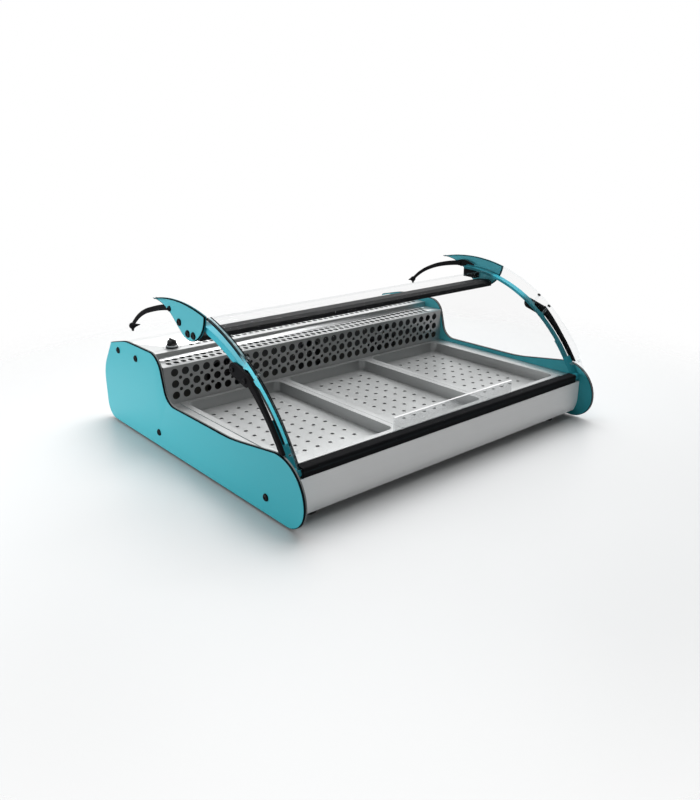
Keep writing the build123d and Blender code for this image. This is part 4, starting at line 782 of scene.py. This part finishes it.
def legs():
    """Legs with a slanted upper end, slim below it."""
    low, high = [arc_point(*place) for place in LEG_SLANT]
    along = high - low
    normal = Vector((0.0, -along.z, along.y))
    if normal.dot(outward(LEG_SLANT[0][0])) < 0:
        normal.negate()
    for side in ("left", "right"):
        node = side + "_leg"
        shape = node_copy(node)
        cut(shape, low, normal, clear=True)
        shape.normal_update()
        rims = plate_rims(shape)
        for vert in shape.verts:
            angle, radius = arc_place(vert.co)
            slim = LEG_SLIM_RADIUS + LEG_SLIM_SHARE * (radius - LEG_RADIUS)
            vert.co += outward(angle) * (slim - radius) * rise(angle, *LEG_SLIM_ANGLES)
        rounded(shape, rims, LEG_RIM)
        piece(node + "_bar", shape, "canopy", "black_metal", node, crease=15.0)


def vents():
    """Vent and top cover with their slots drawn wider."""
    for node, rows in SLOT_ROWS.items():
        shape = node_copy(node, joined=False)
        for vert in shape.verts:
            for row in rows:
                if abs(vert.co.y - row) < SLOT_HALF_WIDTH:
                    vert.co.y = row + SLOT_STRETCH[node] * (vert.co.y - row)
                    break
        piece(node + "_sheet", shape, "base", "stainless", node, (NODE_FINISHES[node],))


def resized(name, node, body, slot, share):
    """Copy of a piece whose loose parts are each resized in the side view about their own centre."""
    shape = node_copy(node)
    for part in groups(shape.verts, verts_beside):
        centre = sum((vert.co for vert in part), Vector()) / len(part)
        bmesh.ops.scale(shape, verts=part, vec=(1.0, share, share), space=Matrix.Translation(-centre))
    piece(name, shape, body, slot, node)


def hook_station(share, sign):
    """Centre and half-axes of a hook arm's section, from its eye at 0 to its ball at 1."""
    angle = HOOK_ANGLES[0] + share * (HOOK_ANGLES[1] - HOOK_ANGLES[0])
    near, middle, far = HOOK_RADII
    radius = near + share * (far - near) + 4 * share * (1 - share) * (middle - (near + far) / 2)
    radius += HOOK_BOW * math.sin(math.pi * share * share)
    x = HOOK_X[0] + (HOOK_X[1] - HOOK_X[0]) * rise(angle, *HOOK_STEP)
    half = HOOK_HALF_WIDTHS[0] + share * (HOOK_HALF_WIDTHS[1] - HOOK_HALF_WIDTHS[0])
    centre = Vector((sign * x, 0.0, 0.0)) + arc_point(angle, radius)
    return centre, Vector((HOOK_HALF_THICKNESS, 0.0, 0.0)), outward(angle) * half


def hook_arms():
    """Smooth curved arms with an eye at the pivot and a ball, a stub and a nub at the end."""
    thick = Vector((HOOK_HALF_THICKNESS, 0.0, 0.0))
    near, far = STUB_RADII
    stub = [(near, 0.0), (near, 0.3 * STUB_LENGTH), (far, 0.96 * STUB_LENGTH), (0.5 * far, STUB_LENGTH)]
    nub = [(NUB_RADIUS, 0.0), (NUB_RADIUS, 0.85 * NUB_LENGTH), (0.6 * NUB_RADIUS, NUB_LENGTH)]
    for side, sign in (("left", -1), ("right", 1)):
        shape = bmesh.new()
        tube(shape, [hook_station(i / HOOK_STATIONS, sign) for i in range(HOOK_STATIONS + 1)])
        pivot = Vector((sign * HOOK_X[0], 0.0, 0.0)) + arc_point(PIVOT_ANGLE, HOOK_RADII[0])
        loop = []
        for i in range(EYE_STATIONS):
            angle = 2 * math.pi * i / EYE_STATIONS
            out = Vector((0.0, math.cos(angle), math.sin(angle)))
            loop.append((pivot + out * EYE_RADIUS, thick, out * EYE_HALF_WIDTH))
        tube(shape, loop, closed=True)
        ball = hook_station(1.0, sign)[0]
        bmesh.ops.create_uvsphere(
            shape, u_segments=24, v_segments=16, radius=BALL_RADIUS, matrix=Matrix.Translation(ball))
        turned(shape, ball, (-sign, 0.0, 0.0), stub, 16)
        turned(shape, ball, (0.0, 0.0, -1.0), nub, 16)
        piece(side + "_hook_curve", shape, side + "_hook", "black_metal", side + "_hook_arm")


def knob():
    """Fluted knob with a raised grip and a white pointer."""
    centre = Vector(((knob_low.x + knob_high.x) / 2, (knob_low.y + knob_high.y) / 2, knob_low.z))
    radius = (knob_high.x - knob_low.x) / 2
    height = knob_high.z - knob_low.z
    shape = bmesh.new()
    skirt = [
        (0.97 * radius, 0.0),
        (radius, 0.06 * height),
        (radius, 0.16 * height),
        (0.90 * radius, 0.24 * height),
        (0.86 * radius, 0.66 * height),
        (0.80 * radius, 0.74 * height),
        (0.70 * radius, 0.77 * height),
    ]
    turned(shape, centre, (0.0, 0.0, 1.0), skirt, 8 * KNOB_FLUTES)
    for vert in shape.verts:
        if vert.co.z - centre.z > 0.2 * height:
            out = (vert.co - centre) * Vector((1.0, 1.0, 0.0))
            wave = 0.5 - 0.5 * math.cos(KNOB_FLUTES * math.atan2(out.y, out.x))
            vert.co -= out.normalized() * FLUTE_DEPTH * wave
    grip_size = (0.30 * radius, 1.56 * radius, 0.30 * height)
    grip = block(shape, grip_size, centre + Vector((0.0, 0.0, 0.85 * height)))
    rounded(shape, list({edge for vert in grip for edge in vert.link_edges}), GRIP_RIM, 3)
    piece("knob_body", shape, "knob", "black_plastic", "thermostat_knob")
    shape = bmesh.new()
    pointer_size = (0.10 * radius, 0.50 * radius, POINTER_HEIGHT)
    block(shape, pointer_size, centre + Vector((0.0, -0.48 * radius, height - POINTER_HEIGHT / 2)))
    piece("knob_pointer", shape, "knob", "lamp_white")


def dial_marks():
    """Marks on the top cover round the knob, longer at every fifth."""
    centre = Vector(((knob_low.x + knob_high.x) / 2, (knob_low.y + knob_high.y) / 2, cover_high.z))
    shape = bmesh.new()
    for i in range(DIAL_MARKS):
        angle = math.radians(-DIAL_SWEEP / 2 + DIAL_SWEEP * i / (DIAL_MARKS - 1))
        length = SHORT_MARK if i % MARKS_PER_LONG else LONG_MARK
        size = (MARK_WIDTH, length, MARK_HEIGHT)
        mark = block(shape, size, (0.0, -DIAL_RADIUS - length / 2, MARK_HEIGHT / 2))
        bmesh.ops.rotate(shape, verts=mark, cent=(0.0, 0.0, 0.0), matrix=Matrix.Rotation(angle, 3, "Z"))
        bmesh.ops.translate(shape, verts=mark, vec=centre)
    piece("dial_marks", shape, "base", "black_plastic")


def screws():
    """Low round screws with a socket, in the top cover and in the rear cover."""
    outline = [
        (SCREW_RADIUS, 0.0),
        (SCREW_RADIUS, 0.35 * SCREW_HEIGHT),
        (0.86 * SCREW_RADIUS, 0.80 * SCREW_HEIGHT),
        (0.60 * SCREW_RADIUS, SCREW_HEIGHT),
        (0.45 * SCREW_RADIUS, SCREW_HEIGHT),
        (0.42 * SCREW_RADIUS, 0.30 * SCREW_HEIGHT),
    ]
    shape = bmesh.new()
    for x in COVER_SCREW_XS:
        for y in COVER_SCREW_YS:
            turned(shape, (x, y, cover_high.z), (0.0, 0.0, 1.0), outline)
    for x in REAR_SCREW_XS:
        for z in REAR_SCREW_ZS:
            turned(shape, (x, rear_high.y, z), (0.0, 1.0, 0.0), outline)
    piece("cover_screws", shape, "base", "stainless")


def louvres():
    """Two banks of pressed hoods on the rear cover."""
    shape = bmesh.new()
    for x in LOUVRE_XS:
        for row in range(LOUVRE_ROWS):
            centre = (x, rear_high.y, rear_low.z + LOUVRE_FIRST + LOUVRE_PITCH * row)
            hood = bmesh.ops.create_uvsphere(shape, u_segments=32, v_segments=16, radius=1.0)["verts"]
            bmesh.ops.scale(
                shape, verts=hood, vec=(LOUVRE_HALF_LENGTH, LOUVRE_PROUD, LOUVRE_HALF_HEIGHT))
            bmesh.ops.translate(shape, verts=hood, vec=centre)
            bmesh.ops.bisect_plane(
                shape, geom=shape.verts[:] + shape.edges[:] + shape.faces[:], dist=ON_PLANE,
                plane_co=centre, plane_no=(0.0, 1.0, 0.0), clear_inner=True)
    piece("rear_louvres", shape, "base", "stainless")


def make_camera():
    """Camera to the front left of the case, a little above it."""
    data = bpy.data.cameras.new("camera")
    data.sensor_width = SENSOR_MM
    data.lens = FOCAL_PIXELS * SENSOR_MM / max(PICTURE)
    data.clip_start, data.clip_end = CLIP
    camera = added("camera", data)
    aim(camera, CAMERA_PLACE, direction(LOOK_AZIMUTH, -LOOK_TILT))
    bpy.context.scene.camera = camera


def make_floor():
    """Round pale floor."""
    shape = bmesh.new()
    bmesh.ops.create_circle(shape, cap_ends=True, segments=96, radius=FLOOR_RADIUS)
    mesh = bpy.data.meshes.new("floor")
    shape.to_mesh(mesh)
    shape.free()
    mesh.materials.append(floor_paint())
    floor = added("floor", mesh)


def make_surround():
    """White surround, whose light rises towards the backdrop."""
    world = bpy.data.worlds.new("surround")
    bpy.context.scene.world = world
    world.use_nodes = True
    sky = Web(world.node_tree)
    backdrop = direction(LOOK_AZIMUTH, BACKDROP_RISE)
    way = sky.add("TexCoord", output="Generated")
    toward = sky.add("VectorMath", {"operation": "DOT_PRODUCT"}, way, backdrop, output="Value")
    light = ROOM_LIGHT + (BACKDROP_LIGHT - ROOM_LIGHT) * sky.step(toward, *BACKDROP_BLEND)
    seen = sky.add("LightPath", output="Is Camera Ray")
    background = world.node_tree.nodes["Background"]
    sky.feed(background.inputs["Color"], (1.0, 1.0, 1.0))
    sky.feed(background.inputs["Strength"], light + seen * (1.0 - light))


def make_lights():
    """Soft rectangular lights, each aimed at its target."""
    for name, (place, target, size, power) in LIGHTS.items():
        data = bpy.data.lights.new(name, "AREA")
        data.shape = "RECTANGLE"
        data.size, data.size_y = size
        data.energy = power
        light = added(name, data)
        light.visible_camera = False
        aim(light, place, Vector(target) - Vector(place))


dress_nodes()
boards()
arms()
legs()
vents()
resized("clamp_nubs", "clamp_blocks", "canopy", "black_metal", NUB_SHARE)
resized("panel_bolt_heads", "panel_bolts", "base", "bolts", BOLT_SHARE)
resized("fin_bolt_heads", "fin_bolts", "canopy", "bolts", BOLT_SHARE)
hook_arms()
knob()
dial_marks()
screws()
louvres()
make_camera()
make_floor()
make_surround()
make_lights()
scene = bpy.context.scene
scene.view_settings.view_transform = "Standard"
scene.cycles.use_denoising = True
